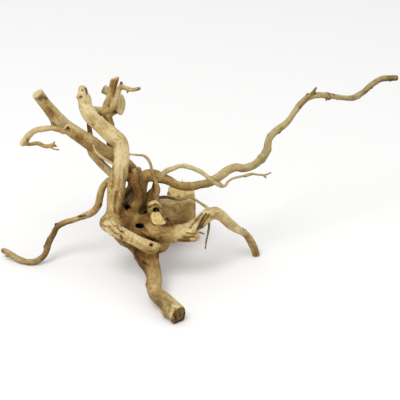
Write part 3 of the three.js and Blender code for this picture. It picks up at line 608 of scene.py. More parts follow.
burr("loose_flake", [[-33, -17.4, 28.4, 1.3], [-30.4, -20.6, 28, 1.6], [-28.6, -24.4, 26.6, 1.3]], tone=(0,),
     fillet=0.5)
hollow([[-47.4, -9.6, 31.4, 1.8], [-44.4, -9.2, 32, 2.1], [-41.4, -10.4, 31.4, 1.7]], 7)
hollow([[-44.6, -9.4, 38, 2.4], [-44.4, -9.8, 27, 2.4], [-45, -10, 17, 1.8]], 1)
# Painted shade: the hole under the curled lip is painted near black.
mark("front_stub front_knob curled_lip", [[-46.6, -9.6], [-42, -10]], 1.9, dark=0.9)
mark("curled_lip lip_curl", [[-51.6, -8], [-48.6, -5.4], [-44, -5]], 0.9, tone=-0.3, dark=0.2)
mark("front_stub face_corner", [[-43.4, -13.6], [-42, -20], [-37.4, -22]], 5, torn=1)
mark("front_stub face_corner", [[-45, -16]], 1, depth=0.3, dark=0.3)
mark("front_stub face_corner", [[-40.6, -21]], 1, depth=0.3, dark=0.25)
mark("stub_sliver loose_flake", [[-33, -18], [-28.4, -25.6]], 1.8, dark=0.6)
mark("rear_stump stump_bulge", [[-36, -16], [-31, -24]], 1.6, dark=0.5)
mark("stub_sliver", [[-39, -8], [-35, -14]], 1.1, dark=0.5)
mark("stub_sliver sliver_edge", [[-36.6, -14], [-36, -15]], 0.9, dark=0.7)
mark("stub_sliver sliver_edge loose_flake", [[-33.4, -18.4], [-32, -20.4]], 1, dark=0.7)
# Painted shade in the channel beside the torn face.
mark("front_stub face_corner", [[-40.4, -11], [-37, -15.4], [-34.4, -18.8]], 1.4, dark=0.6)

# The torn arm and the right leg
# The stout root to the right was torn where its lower arm broke off. The leg beside it bends down to the
# ground, with deep splits where it parted from the arm.
grow("torn_arm", [
    [-62, -24, 8, 8.5], [-54, -27.6, 15, 8.4], [-46, -31, 19, 8.3], [-36, -33, 21, 7.9],
    [-24, -33.2, 21, 7.6], [-13, -33.2, 20, 7.3], [-3.4, -34, 19, 6.2],
], "torn", tone=(0.3, 0.32, 0.3, 0.28, 0.46, 0.8), rough=(0, 0, 0, 0.1, 0.3, 0.8), fillet=7)
grow("right_leg", [
    [-18, -32, 19, 6.8], [-9, -28, 17, 6.7], [-1, -22, 13, 6.6], [7, -15.6, 8, 6.3], [15, -13.2, 1, 6.1],
    [21.5, -15.9, -7, 5.3], [28.1, -22.3, -14, 4.8], [36.5, -28.7, -22, 4.2], [44.7, -33.5, -29, 4],
    [50.5, -40.5, -35, 3.9], [54.1, -47.9, -39, 3.6], [56.5, -56.5, -42.5, 3.2],
], tone=(0.5, 0.5, 0.55, 0.6, 0.7, 0.75, 0.7, 0.6, 0.5, 0.3), grey=(0, 0, 0, 0.1, 0.3, 0.4, 0.3, 0.3),
     rough=(0.8, 1, 1, 0.6, 0.1, 0, 0, 0, 0, 0.2))
grow("hanging_rootlet", [
    [8, -16, 4, 1.5], [9, -23, 4, 1.2], [8.4, -31, 5, 1.1], [6.4, -40, 6, 1], [5.2, -49.2, 7, 0.8],
], tone=(0.15, 0.2), grey=(0.6, 0.7))
grow("torn_fibre", [[-5, -31, 14, 1.1], [0, -32.4, 13, 1], [5, -34.4, 12, 0.7]], tone=(0.1,), grey=(0.9,))
burr("arm_flake", [[-14, -36, 22, 2.6], [-7, -38, 21.6, 2.4], [-2.6, -39.6, 21, 1.6]],
     tone=(0.4,), rough=(1,), fillet=0.8)
burr("arm_lip", [[-24, -40.2, 20, 1.3], [-14, -41, 20, 1.4], [-4, -41, 19, 0.9]], tone=(0.5,), fillet=0.6)
hollow([[-7.4, -30.6, 27, 1.5], [-4, -26.4, 24.6, 1.6], [-0.6, -21.4, 22, 1.2]], 8)
mark("right_leg torn_arm", [[6, -14], [3, -18], [0.4, -24], [-3, -31]], 1.5, depth=1.5, dark=0.75)
mark("right_leg torn_arm", [[9.4, -15], [4.6, -21], [1.4, -27.6]], 1.4, depth=0.9, tone=-0.6, dark=0.1)
mark("right_leg torn_arm", [[2, -14], [-4, -20], [-9.6, -28]], 1.3, depth=0.8, tone=-0.5)
mark("right_leg torn_arm", [[6, -11.6], [-2, -16.4], [-9, -23]], 1.1, depth=0.5, tone=0.2)
mark("torn_arm arm_lip", [[-22, -40], [-11, -40.4]], 1.2, depth=0.6, tone=-0.5)
mark("torn_arm arm_flake", [[-4.4, -31], [-3.4, -38.4]], 1.6, tone=-0.3, grey=-0.4, depth=0.5)
mark("torn_arm arm_flake arm_lip", [[-17, -37], [-12, -37.6], [-4, -37]], 1.1, depth=0.7, tone=-0.5, dark=0.1)
mark("torn_arm arm_flake", [[-13, -33], [-8, -34], [-3, -33.4]], 1.1, depth=0.7, tone=-0.5)
mark("torn_arm arm_flake", [[-12, -35.6], [-6, -36]], 1.6, tone=-0.2, grey=-0.4)
mark("right_leg", [[8, -9]], 1.4, depth=0.2, dark=0.35)
mark("right_leg", [[33, -26]], 2, grey=0.6, dark=0.1)
mark("right_leg", [[44.5, -29.5]], 1.9, depth=0.4, dark=0.45, rim=0.2)
mark("right_leg", [[51.6, -43], [56.4, -55]], 1.4, depth=0.25, dark=0.3)
mark("torn_arm", [[-39, -38]], 1.7, depth=0.4, dark=0.4, tone=-0.2)
mark("torn_arm", [[-34.5, -43]], 1.4, dark=0.4)
# Painted shade in the valley under the arm's left end, which is also sunk a little.
mark("torn_arm crown", [[-57, -29], [-53, -35], [-46, -40]], 2.4, tone=-0.1, depth=0.3)
mark("torn_arm", [[-52, -26], [-38, -28], [-24, -28]], 2.6, tone=0.14)

# The log and the front foot
# A short broken root lies across the front of the crown, rough and splintery at its left. Under it the foot
# comes forward and ends in a dark saw cut.
grow("front_log", [
    [-93.4, -23.6, 17, 6.6], [-86, -28.6, 21, 6.9], [-77.6, -33.6, 24, 6.6], [-68, -38.6, 25, 6.3],
    [-59.4, -43.2, 26, 6], [-50, -46.8, 26, 5.4], [-41.6, -48, 26, 4.4],
], tone=(0.55, 0.6, 0.7, 0.82, 0.68, 0.58), grey=(-0.12,), rough=(1.3, 1.3, 0.9, 0.3, 0.15, 0.2), fillet=1)
grow("log_burr", [
    [-83, -32, 20, 4.4], [-79.4, -37.6, 17, 3.6], [-76.4, -40.6, 14, 2.6],
], tone=(0.5, 0.45), rough=(1, 0.5), fillet=0.8)
grow("front_foot", [
    [-60, -30, 2, 13], [-56.6, -43, 6, 12.5], [-53.5, -52, 12, 11.3], [-52.5, -61, 20, 9.8],
    [-48.3, -70, 27, 8.6], [-46.4, -78, 34, 7.9], [-46.6, -86, 41, 7.9], [-43.6, -93.8, 49, 8.1],
    [-35.8, -100.5, 57, 8.3], [-28.1, -108.9, 66, 8.8], [-21.1, -116.5, 73.6, 9.4],
], "torn", tone=(0, -0.06, -0.05, 0.02, 0.26, 0.38, 0.44, 0.48, 0.5, 0.42),
     grey=(0, 0, 0, 0.1, 0.1, 0.2, 0.3, 0.4),
     face=(0.1, 0.5, 0.4), cut=(0.62, -0.42, 0.66), ragged=0.45, rounding=1)
grow("foot_knot", [[-57, -50, 12, 5], [-61, -55, 16, 3.8], [-63, -57, 17, 2.8]], tone=(0.2, 0.2),
     rough=(0.6,))
burr("log_lip", [[-48, -43, 27.4, 2.2], [-43, -45, 27.4, 1.9], [-40.4, -48, 27, 1.6]], tone=(0.7,),
     fillet=0.8)
burr("foot_flange", [
    [-86, -35, 14, 2], [-79, -42, 12, 2.2], [-71, -46.6, 11, 2.2], [-65.4, -53, 13, 2.2], [-62, -58, 16, 1.8],
], tone=(0.3,), rough=(0.8,))
burr("foot_crumb", [[-63, -51, 16.6, 2], [-64, -54.4, 17.4, 2], [-62.8, -57.6, 20, 1.7]], tone=(0,),
     rough=(1.4,), fillet=0.4)
burr("foot_scale", [[-60, -60, 25, 1.7], [-57.6, -62.4, 27.8, 1.5]], tone=(0,), rough=(1,), fillet=0.4)
burr("foot_heel", [[-33, -107.6, 62, 4], [-35.4, -112, 65, 3], [-33, -115.6, 68.6, 2.6]], tone=(0.4,),
     grey=(0.3,))
burr("foot_rag", [[-63, -54, 16, 1.6], [-64, -58, 18, 1.5], [-61, -60.6, 20, 1.2]],
     tone=(0.1, 0.3), rough=(1,), fillet=0.5)
knuckle("front_foot", (-53.4, -85), radius=3.4, tone=(0.38,), grey=(0.1,))
mark("front_log log_burr", [[-90, -21], [-87, -26], [-83, -26], [-81, -31], [-76, -32]],
     1.5, depth=0.8, tone=-0.45)
mark("front_log log_burr", [[-93, -26], [-88, -28], [-86, -33], [-80, -34], [-78, -39]],
     1.5, depth=0.8, tone=-0.5)
mark("front_log", [[-84, -22], [-81, -26], [-78, -26.6]], 1.2, depth=0.6, tone=-0.3)
mark("front_log", [[-91, -22], [-86.4, -28], [-80, -34]], 1.4, depth=-0.6, tone=0.3)
mark("front_log", [[-88, -19], [-94, -24]], 2.4, tone=0.25)
mark("front_log", [[-66.4, -35.6], [-68, -40], [-69, -43]], 0.9, depth=0.6, dark=0.35)
mark("front_log", [[-49, -45]], 2.1, depth=1, dark=1, rim=0.5)
mark("front_log log_lip", [[-40.4, -47], [-43.4, -51]], 1.3, depth=0.5, dark=0.3)
mark("front_foot foot_knot foot_flange foot_rag foot_crumb foot_scale crown",
     [[-64, -50.6], [-64.4, -55], [-61, -59.6]], 2.4, dark=0.7)
mark("front_foot", [[-35, -98], [-28, -104]], 1.6, tone=-0.25)
mark("front_foot", [[-27, -105.6], [-29, -112], [-27.4, -118]],
     1.8, tone=0.1, grey=-0.6, dark=-0.2, depth=0.4)
mark("front_foot", [[-27, -105], [-22, -107]], 1.5, tone=0.3, grey=-0.7, dark=-0.3)
mark("front_foot", [[-24.6, -108.4], [-26, -114], [-24, -119]], 1.1, dark=0.4, depth=0.5)
mark("front_foot", [[-14.6, -111], [-16.6, -119], [-24, -122.6]], 1.2, dark=0.35, depth=0.3)
mark("front_foot", [[-20.6, -110], [-20, -117]], 1.1, dark=0.25, grey=0.3)
mark("front_foot", [[-43, -103], [-40, -106.4]], 3, depth=0.9, tone=-0.1)
mark("front_foot", [[-53, -84], [-46, -83], [-40, -86]], 1.1, depth=0.35, dark=0.15)
mark("front_foot", [[-52, -87], [-44, -86.4]], 2, tone=0.15)
mark("front_foot foot_knot foot_scale foot_rag crown", [[-57.4, -62], [-53.6, -64.4]],
     1.8, depth=0.7, dark=0.7)
# Painted shadow: the top of the foot, under the log, is painted darker.
mark("front_foot crown foot_knot", [[-62, -50], [-54, -56], [-46, -56]], 5, tone=-0.3)
mark("front_foot", [[-29.6, -105.4], [-31.4, -112]], 1, dark=0.5, depth=0.4)
mark("front_foot", [[-23, -106.4], [-17, -110], [-15.4, -115]], 1.1, tone=0.3, dark=0.2, depth=0.3)
mark("front_foot", [[-31.4, -104.6]], 1.2, dark=0.5)
mark("front_foot", [[-40, -103]], 1.2, dark=0.5)
mark("front_foot", [[-54, -82], [-50, -88]], 2.4, tone=-0.2)

# The left foot
# A thin root swings out low to the left, over the ground, and touches it near its end. It is tan, with dark
# nicks where rootlets broke off.
grow("left_foot", [
    [-78, 2, -4, 5], [-84, 12, -8, 4.2], [-90.8, 19.6, -13, 3.6], [-96.4, 13.4, -16, 3.6],
    [-99.8, 4, -18, 3.4], [-101.8, -4.7, -19, 3.5], [-107.1, -11.8, -20, 3.3], [-116.3, -16.4, -21, 3.2],
    [-126.5, -20, -22, 3], [-136.7, -23, -22.5, 2.9], [-142.9, -27.1, -23, 2.9],
    [-147, -35.3, -23.5, 2.9], [-151, -42.4, -24, 2.9], [-153.1, -49.6, -24.5, 3],
    [-156.3, -55.7, -25, 3.1], [-162.4, -60.4, -25.5, 3.1], [-170.4, -62.2, -26, 3.1],
    [-179.6, -59.6, -28, 3], [-187.8, -55.2, -31, 2.9], [-194.6, -51.4, -34, 2.8],
    [-199, -50.2, -36, 2.6],
], tone=(0.4, 0.55, 0.5, 0.42, 0.5, 0.52, 0.2, 0.04, 0.15, 0.4, 0.48, 0.48),
     grey=(0, 0.2, 0.1, 0.1, 0.2, 0.3, 0.4, 0.5))
grow("left_foot_nub", [[-192, -53.4, -32, 1.8], [-193.6, -57.2, -31, 1.2]], tone=(0.4, 0.3))
knuckle("left_foot", (-144.8, -23.6), (-118.6, -15.6), (-98.4, -5.4), radius=1.8, tone=(0.1,), grey=(0.5,))
knuckle("left_foot", (-155.6, -46.4), (-149, -41), radius=2.3, tone=(0.35,), grey=(0.3,))
mark("left_foot", [[-98.6, -4], [-99.6, -8]], 1.4, depth=0.3, dark=0.7)
mark("left_foot", [[-121, -16.6], [-115, -15.6]], 1.4, depth=0.2, dark=0.8)
mark("left_foot", [[-146.4, -25], [-142.6, -22.6]], 1.5, dark=0.8)
mark("left_foot", [[-140, -28], [-128, -22.6]], 1.2, tone=-0.3, grey=-0.4)
mark("left_foot", [[-171, -64]], 1.5, dark=0.6)
mark("left_foot", [[-197, -50.6]], 1.5, dark=0.5)
mark("left_foot", [[-156, -46], [-152, -36]], 1.3, tone=-0.2, dark=0.15)

# The rear stump
# The thickest root, behind, was torn off at its top. It is smooth and brown below the crumbling creamy wood,
# and stands on a stub of its own.
grow("rear_stump", [
    [-54, -16, -8, 10.5], [-44, -13, -24, 12], [-33, -12.4, -38, 13.9], [-24, -11.4, -47, 15.3],
    [-20.4, -5, -52, 14], [-20, 3, -55, 13.4], [-20.4, 10, -57, 12.6],
], "torn", tone=(0.36, 0.28, 0.3), grey=(-0.3,), cut=(0.05, 0.93, 0.36), fillet=3)
grow("stump_bulge", [
    [-34.9, -12, -40, 12], [-24.9, -12, -46, 12.5], [-14.9, -12, -49, 11.5], [-6.9, -12.5, -51, 9.5],
], tone=(0.24,), grey=(-0.3,), fillet=6)
grow("rear_foot", [
    [-30, -15, -47, 11], [-29, -23, -55, 9.6], [-28.6, -30, -66, 8.4], [-28, -37.5, -78.5, 7.4],
], tone=(0.2,))
mark("rear_stump stump_bulge", [[-42, -6], [-26, -7], [-12, -9]], 9, tone=-0.14)
mark("rear_stump stump_bulge", [[-36, -5], [-30, -7.4], [-25, -9.6]], 2.6, tone=-0.25, depth=0.3)
mark("rear_stump stump_bulge", [[-24.4, -4], [-20, -4.6], [-19.6, -8]], 1.1, tone=-0.25, depth=0.3)
mark("rear_stump stump_bulge", [[-7.6, -1], [-6.6, -12], [-10, -22]], 2.2, tone=0.15, grey=0.5)
mark("cross_rootlet", [[-41, 3], [-34, 3], [-27, 1.6]], 2, dark=0.5)
mark("rear_stump stump_bulge", [[-34, -0.6], [-22, -1], [-12, 1.6]], 1, dark=0.15, depth=0.3)
mark("rear_stump", [[-32, 8], [-29.6, 3]], 1.2, depth=0.8, dark=0.2)
mark("rear_stump", [[-23, 8], [-21.4, 4]], 0.8, depth=0.5, dark=0.1)
mark("rear_stump", [[-15.4, 9], [-15.4, 1]], 1, depth=0.5, dark=0.2)
mark("rear_stump stump_bulge", [[-16, -1], [-9, 1]], 2.2, tone=0.3, grey=0.5)

# The eye
# Rot has opened the crown below the window: a shallow, weathered pocket, and under it a slanting hole with a
# worn channel that leads down out of it.
hollow([[-56.4, -7.6, 15, 3.8], [-55.4, -9, 5, 4.2], [-55, -9.6, -3, 3.4]], 6)
hollow([[-55.6, -11.6, 16, 3.2], [-55, -12, 5, 3.4]], 12)
mark("crown window_back long_root inner_web inner_spur rear_stump front_stub front_knob torn_arm loop_strand",
     [[-56.6, -6.6], [-55, -12]], 4, grey=0.5, dark=0.05)
hollow([[-64, -25, 20, 1.4], [-60.4, -25.8, 22, 2.6], [-56.8, -26.4, 24, 2]], 9)
hollow([[-61.6, -25.8, 26, 2.4], [-61.4, -26, 8, 2.6], [-60, -25, -6, 2.4]], 0)
hollow([[-58.4, -26.2, 27, 2.3], [-58.6, -26.2, 10, 2.4]], 11)
hollow([[-57.6, -28, 22, 2.4], [-55, -31.6, 24.4, 2.2], [-51.6, -36, 26.4, 1.8]], 10)
# Painted shade: the slanting hole is painted near black.
mark("crown torn_arm front_foot", [[-61.4, -25.6], [-58.4, -26.4]], 2, dark=1)
mark("crown torn_arm", [[-63.6, -25]], 1.3, dark=0.9)

# The skin
# Sandblasting took the bark and left bare wood: grain that runs along every root in fine flutes, small knots
# where rootlets were lost, and clefts painted darker, partly dirt and partly painted shade. The roots that it
# stands on are worn flat.
TRIANGLES = 196000
GROUND_ROUNDING = 0.6
SHARE_WIDTH = 0.8
OWN_REACH = 5
SEARCH_BLOCK = 4096
BUMP = {"height": 0.11, "spacing": 1.9}
FLUTE = {"height": 0.1, "rough": 0.45, "width": 1.9, "run": 18}
FURROW = {"height": 0.8, "width": 1.6, "run": 6, "sharpness": 2.2, "most": 0.5, "shift": 40}
PIMPLE = {"height": 0.13, "spacing": 2.6}
KNOT = {"spacing": 30, "along": (0.05, 0.95), "radius": (0.9, 1.9), "pit": 0.28, "dark": 0.4, "slope": 1.3}
KNOT_RIM = {"height": 0.2, "at": 1.2, "width": 0.45}
KNOT_LEAST_ROOT = 2.2
FACE = {"depth": 0.9, "start": 1.5}
TEAR = {"depth": 0.5, "start": 2}
LEAST_WEIGHT = 1e-6
# Painted light: how much paler a face is painted the more it turns up, and how much paler relief that stands
# out is painted and sunk relief darker.
TOP_LIGHT = {"strength": 0.2, "level": 0.05}
RELIEF_LIGHT_AND_SHADE = 0.4
# How far the edge of a mark wanders, and over what distance; a narrow mark's wanders less.
WANDER = [(0.35, 1.7), (0.3, 5)]
WANDER_WIDTH = 2.5
MARK = {"edge": 1.35, "fade": 1.3, "rim_at": 1.1, "rim_width": 0.3}
OCCLUSION_STEPS = [0.8, 1.9, 3.9]
GRAIN_SHIFT = 7
PAINTS = ("tone", "grey", "rough", "torn", "dark", "occlusion")


def cut_skin():
    """The skin of the wood as triangles: places in millimetres, and the corners of each face."""
    z = low_corner[2] + VOXEL * np.arange(cells[2])
    grid = openvdb.FloatGrid(REACH)
    grid.copyFromArray(smooth_max(field, -z.astype(np.float32), GROUND_ROUNDING))
    places, triangles, quads = grid.convertToPolygons(isovalue=0, adaptivity=0)
    faces = np.vstack([triangles.reshape(-1, 3), quads[:, [0, 1, 2]], quads[:, [0, 2, 3]]]).astype(int)
    places = low_corner + VOXEL * places.astype(float)
    corners = places[faces]
    volume = (np.cross(corners[:, 0], corners[:, 1]) * corners[:, 2]).sum()
    return places, faces if volume > 0 else faces[:, ::-1]


def largest_body(places, faces):
    """Only the outer skin is kept: loose crumbs and the walls of sealed spaces are dropped."""
    label = np.arange(len(places))
    a, b = np.vstack([faces[:, [0, 1]], faces[:, [1, 2]]]).T
    while True:
        lowest = np.minimum(label[a], label[b])
        before = label.copy()
        np.minimum.at(label, a, lowest)
        np.minimum.at(label, b, lowest)
        label = label[label]
        if (label == before).all():
            break
    names, counts = np.unique(label[faces[:, 0]], return_counts=True)
    kept = faces[label[faces[:, 0]] == names[counts.argmax()]]
    used, kept = np.unique(kept, return_inverse=True)
    return places[used], kept.reshape(-1, 3)


def make_mesh(name, places, faces):
    mesh = bpy.data.meshes.new(name)
    mesh.from_pydata((places * MM).tolist(), [], faces.tolist())
    mesh.shade_smooth()
    made = bpy.data.objects.new(name, mesh)
    bpy.context.scene.collection.objects.link(made)
    return made


def read_mesh(mesh):
    """The mesh's places in millimetres, the way that the skin faces at each, and the corners of its faces."""
    places = np.empty(len(mesh.vertices) * 3, np.float32)
    normals = np.empty(len(mesh.vertices) * 3, np.float32)
    faces = np.empty(len(mesh.polygons) * 3, np.int32)
    mesh.vertices.foreach_get("co", places)
    mesh.vertex_normals.foreach_get("vector", normals)
    mesh.polygons.foreach_get("vertices", faces)
    places, normals = (values.reshape(-1, 3).astype(float) for values in (places, normals))
    return places / MM, normals, faces.reshape(-1, 3)


def thin_out(piece, triangles):
    """Flatter skin gets larger faces, until the piece has that many triangles."""
    thinner = piece.modifiers.new("thinner", "DECIMATE")
    thinner.ratio = min(1, triangles / len(piece.data.polygons))
    seen = piece.evaluated_get(bpy.context.evaluated_depsgraph_get())
    thin = bpy.data.meshes.new_from_object(seen)
    piece.modifiers.clear()
    full, piece.data = piece.data, thin
    bpy.data.meshes.remove(full)


def nearest_samples(root, points):
    """The root's sample nearest to each point."""
    at = np.empty(len(points), int)
    for start in range(0, len(points), SEARCH_BLOCK):
        block = points[start:start + SEARCH_BLOCK]
        away = (root.places ** 2).sum(axis=1) - 2 * block @ root.places.T
        at[start:start + SEARCH_BLOCK] = away.argmin(axis=1)
    return at


def beside(root, points):
    """Which points lie in the root's own box."""
    reach = root.radii.max() * MOST_SWELL + OWN_REACH
    low, high = root.places.min(axis=0) - reach, root.places.max(axis=0) + reach
    return np.nonzero(((points > low) & (points < high)).all(axis=1))[0]


def sample_field(points):
    """The wood's own distance at points, between the cells."""
    spot = np.clip((points - low_corner) / VOXEL, 0, cells - 2)
    cell = spot.astype(int)
    inside = spot - cell
    total = np.zeros(len(points))
    for corner in np.ndindex(2, 2, 2):
        weight = np.where(corner, inside, 1 - inside).prod(axis=1)
        total += weight * field[tuple((cell + corner).T)]
    return total


def to_line(points, line):
    """How far points of the view lie from a line through the plotted points."""
    line = np.array(line, float)
    nearest = np.linalg.norm(points - line[0], axis=1)
    for start, stop in zip(line[:-1], line[1:]):
        step = stop - start
        share = np.clip((points - start) @ step / (step @ step), 0, 1)
        nearest = np.minimum(nearest, np.linalg.norm(points - start - share[:, None] * step, axis=1))
    return nearest


def along_root(values, share):
    return np.interp(share, np.linspace(0, 1, len(values)), values) if len(values) > 1 else values[0]


def relief(root, sideways, across, length, rough):
    """How far the bumps, the grain and the furrows of rough wood stand out of a root's skin."""
    def along_grain(width, run, shift=0):
        return noise(sideways / width, across / width, length / run + root.seed + shift)

    bump, fine = root.mean * BUMP["spacing"], PIMPLE["spacing"]
    lift = BUMP["height"] * root.mean * along_grain(bump, bump)
    lift += PIMPLE["height"] * along_grain(fine, fine)
    flute = along_grain(FLUTE["width"], FLUTE["run"])
    lift += (FLUTE["height"] + FLUTE["rough"] * rough) * flute
    furrow = along_grain(FURROW["width"], FURROW["run"], FURROW["shift"])
    ridge = 1 - FURROW["sharpness"] * np.abs(furrow)
    return lift + FURROW["height"] * rough * np.minimum(ridge, FURROW["most"])


def knots(root, sideways, across, length):
    """The pits and rims of the small knots that lost rootlets left, and how dark they are."""
    lift = np.zeros(len(length))
    dark = np.zeros(len(length))
    if root.mean < KNOT_LEAST_ROOT:
        return lift, dark
    spots = np.random.default_rng(int(root.seed * 100))
    angle = np.arctan2(across, sideways)
    off = np.hypot(sideways, across)
    for _ in range(int(root.end / KNOT["spacing"])):
        at, turn = spots.uniform(*KNOT["along"]) * root.end, spots.uniform(-math.pi, math.pi)
        size = spots.uniform(*KNOT["radius"])
        round_it = (angle - turn + math.pi) % (2 * math.pi) - math.pi
        away = np.hypot(length - at, round_it * off) / size
        pit = np.clip(KNOT["slope"] - KNOT["slope"] * away, 0, 1)
        rim = np.exp(-((away - KNOT_RIM["at"]) / KNOT_RIM["width"]) ** 2)
        lift += KNOT_RIM["height"] * rim - KNOT["pit"] * pit
        dark += KNOT["dark"] * pit
    return lift, dark


def survey(places, normals):
    """How far the skin stands out at each place, its paints, and which root each place belongs to."""
    share = np.full(len(places), LEAST_WEIGHT)
    lift = np.zeros(len(places))
    paint = {name: np.zeros(len(places)) for name in PAINTS}
    closest = np.full(len(places), np.inf)
    owner = np.zeros(len(places), int)
    for index, root in enumerate(roots):
        near = beside(root, places)
        at = nearest_samples(root, places[near])
        distance = root.skin(places[near], at)
        close = distance < OWN_REACH
        near, at, distance = near[close], at[close], distance[close]
        sideways, across, past, length = root.unroll(places[near], at)
        weight = np.exp(-distance / SHARE_WIDTH)
        done = np.clip(length / root.end, 0, 1)
        rough = along_root(root.rough, done)
        pits, dark = knots(root, sideways, across, length)
        share[near] += weight
        lift[near] += weight * (relief(root, sideways, across, length + past, rough) + pits)
        paint["tone"][near] += weight * along_root(root.tone, done)
        paint["grey"][near] += weight * along_root(root.grey, done)
        paint["rough"][near] += weight * rough
        paint["dark"][near] += weight * dark
        if root.tip != "round":
            beyond = root.past_cut(places[near], sideways, across, length)
            if root.tip == "torn" and not root.face:
                paint["torn"][near] += weight * np.clip(beyond / TEAR["depth"] + TEAR["start"], 0, 1)
            elif root.face:
                cut = weight * np.clip(beyond / FACE["depth"] + FACE["start"], 0, 1)
                tone, grey, shade = root.face
                paint["tone"][near] += cut * (tone - along_root(root.tone, done))
                paint["grey"][near] += cut * (grey - along_root(root.grey, done))
                paint["dark"][near] += cut * shade
        better = distance < closest[near]
        closest[near[better]] = distance[better]
        owner[near[better]] = index
    lift /= share
    for values in paint.values():
        values /= share
    # How enclosed each place is. The material paints the clefts darker from it: painted shade, partly dirt.
    openness = sum(np.clip(sample_field(places + normals * step) / step, 0, 1) for step in OCCLUSION_STEPS)
    paint["occlusion"] = 1 - openness / len(OCCLUSION_STEPS)
    # Painted highlight and shade: faces that turn up are painted paler, as light from above makes them, and
    # what stands out of the skin paler and what sinks into it darker.
    paint["tone"] += TOP_LIGHT["strength"] * (normals[:, 2] - TOP_LIGHT["level"]) + RELIEF_LIGHT_AND_SHADE * lift
    lay_marks(places, normals, owner, lift, paint)
    return lift, paint, owner


def lay_marks(places, normals, owner, lift, paint):
    """Adds the knots, splits, stains and painted shade that were noted, on the side of the wood that the view
    shows.
    """
    seen = as_seen(places)
    facing = normals @ TO_EYE > 0
    names = np.array([root.name for root in roots])[owner]
    for on, points, width, changes in marks:
        near = np.nonzero(np.isin(names, on) & facing)[0]
        wander = sum(far * noise(*(places[near].T / spacing)) for far, spacing in WANDER)
        wander *= min(width / WANDER_WIDTH, 1)
        away = to_line(seen[near], points) / width + wander
        inner = np.clip(MARK["edge"] - away, 0, 1) ** MARK["fade"]
        ring = np.exp(-((away - MARK["rim_at"]) / MARK["rim_width"]) ** 2)
        lift[near] += changes.get("rim", 0) * ring - changes.get("depth", 0) * inner
        for name in PAINTS:
            paint[name][near] += changes.get(name, 0) * inner


def hold_in_box(mesh, places):
    """Puts a mesh's points at these places, but none under the ground or outside the CAD model's box."""
    low, high = np.array([list(corner) for corner in cad_box]) / MM
    mesh.vertices.foreach_set("co", (np.clip(places, low, high) * MM).astype(np.float32).ravel())
    mesh.update()


wood = make_mesh("spiderwood", *largest_body(*cut_skin()))
places, normals, faces = read_mesh(wood.data)
lift, paint, owner = survey(places, normals)
hold_in_box(wood.data, places + normals * lift[:, None])
thin_out(wood, TRIANGLES)
hold_in_box(wood.data, read_mesh(wood.data)[0])
places, normals, faces = read_mesh(wood.data)
lift, paint, owner = survey(places, normals)
for name, values in paint.items():
    stored = wood.data.attributes.new(name, "FLOAT", "POINT")
    stored.data.foreach_set("value", np.clip(values, -1, 1).astype(np.float32))

grain = np.zeros((len(faces), 3, 3), np.float32)
face_owner = owner[faces[:, 0]]
for index, root in enumerate(roots):
    mine = np.nonzero(face_owner == index)[0]
    if len(mine):
        corners = places[faces[mine].ravel()]
        sideways, across, past, length = root.unroll(corners, nearest_samples(root, corners))
        sideways = sideways + root.seed * GRAIN_SHIFT
        grain[mine] = np.stack([sideways, across, length + past], axis=1).reshape(-1, 3, 3)
stored = wood.data.attributes.new("grain", "FLOAT_VECTOR", "CORNER")
stored.data.foreach_set("vector", grain.ravel())
wood.data.update()


class Shade:
    """A node's socket. Sums and products of sockets add Math nodes, so shader maths reads as Python."""

    tree = None

    def __init__(self, socket):
        self.socket = socket

    @classmethod
    def node(cls, kind, settings, sockets, output=0):
        """Adds a node: its settings first, then the values or links of its sockets."""
        made = cls.tree.nodes.new(kind)
        stops = settings.pop("stops", ())
        for name, value in settings.items():
            setattr(made, name, value)
        for _ in range(len(stops) - 2):
            made.color_ramp.elements.new(1)
        for element, (position, color) in zip(made.color_ramp.elements if stops else (), stops):
            element.position, element.color = position, color
        for name, value in sockets.items():
            if isinstance(value, Shade):
                cls.tree.links.new(value.socket, made.inputs[name])
            else:
                made.inputs[name].default_value = value
        return cls(made.outputs[output]) if made.outputs else made

    @classmethod
    def math(cls, operation, first, second):
        return cls.node("ShaderNodeMath", {"operation": operation}, {0: first, 1: second})

    def __add__(self, other):
        return self.math("ADD", self, other)

    def __sub__(self, other):
        return self.math("SUBTRACT", self, other)

    def __rsub__(self, other):
        return self.math("SUBTRACT", other, self)

    def __mul__(self, other):
        return self.math("MULTIPLY", self, other)

    def __pow__(self, other):
        return self.math("POWER", self, other)

    __radd__ = __add__
    __rmul__ = __mul__

    def clamped(self):
        return self.node("ShaderNodeClamp", {}, {"Value": self})


def color(red, green, blue):
    """A colour, given as it looks on a screen from 0 to 255, for a socket."""
    return tuple((value / 255) ** 2.2 for value in (red, green, blue)) + (1,)


def mix(factor, first, second):
    """The first colour, with that much of the second one over it."""
    sockets = {"Factor": factor, 6: first, 7: second}
    return Shade.node("ShaderNodeMix", {"data_type": "RGBA"}, sockets, output=2)


def ramp(factor, tones):
    """The colour between those that a list of positions and screen colours gives."""
    stops = [(position, color(*tone)) for position, tone in tones]
    return Shade.node("ShaderNodeValToRGB", {"stops": stops}, {"Fac": factor})


def painted(name):
    return Shade.node("ShaderNodeAttribute", {"attribute_name": name}, {}, output="Fac")


def stretched(across, along, detail, distortion=0.0):
    """Noise drawn out along the grain: its size across the root and along it, in millimetres."""
    grain_at = Shade.node("ShaderNodeAttribute", {"attribute_name": "grain"}, {}, output="Vector")
    scaled = Shade.node("ShaderNodeVectorMath", {"operation": "MULTIPLY"},
                        {0: grain_at, 1: (1 / across, 1 / across, 1 / along)})
    return Shade.node("ShaderNodeTexNoise", {}, {"Vector": scaled, "Scale": 1.0, "Detail": detail,
                                                 "Distortion": distortion})


def new_material(name):
    """An empty material. The nodes that are added next go into it."""
    material = bpy.data.materials.new(name)
    material.use_nodes = True
    material.node_tree.nodes.clear()
    Shade.tree = material.node_tree
    return material


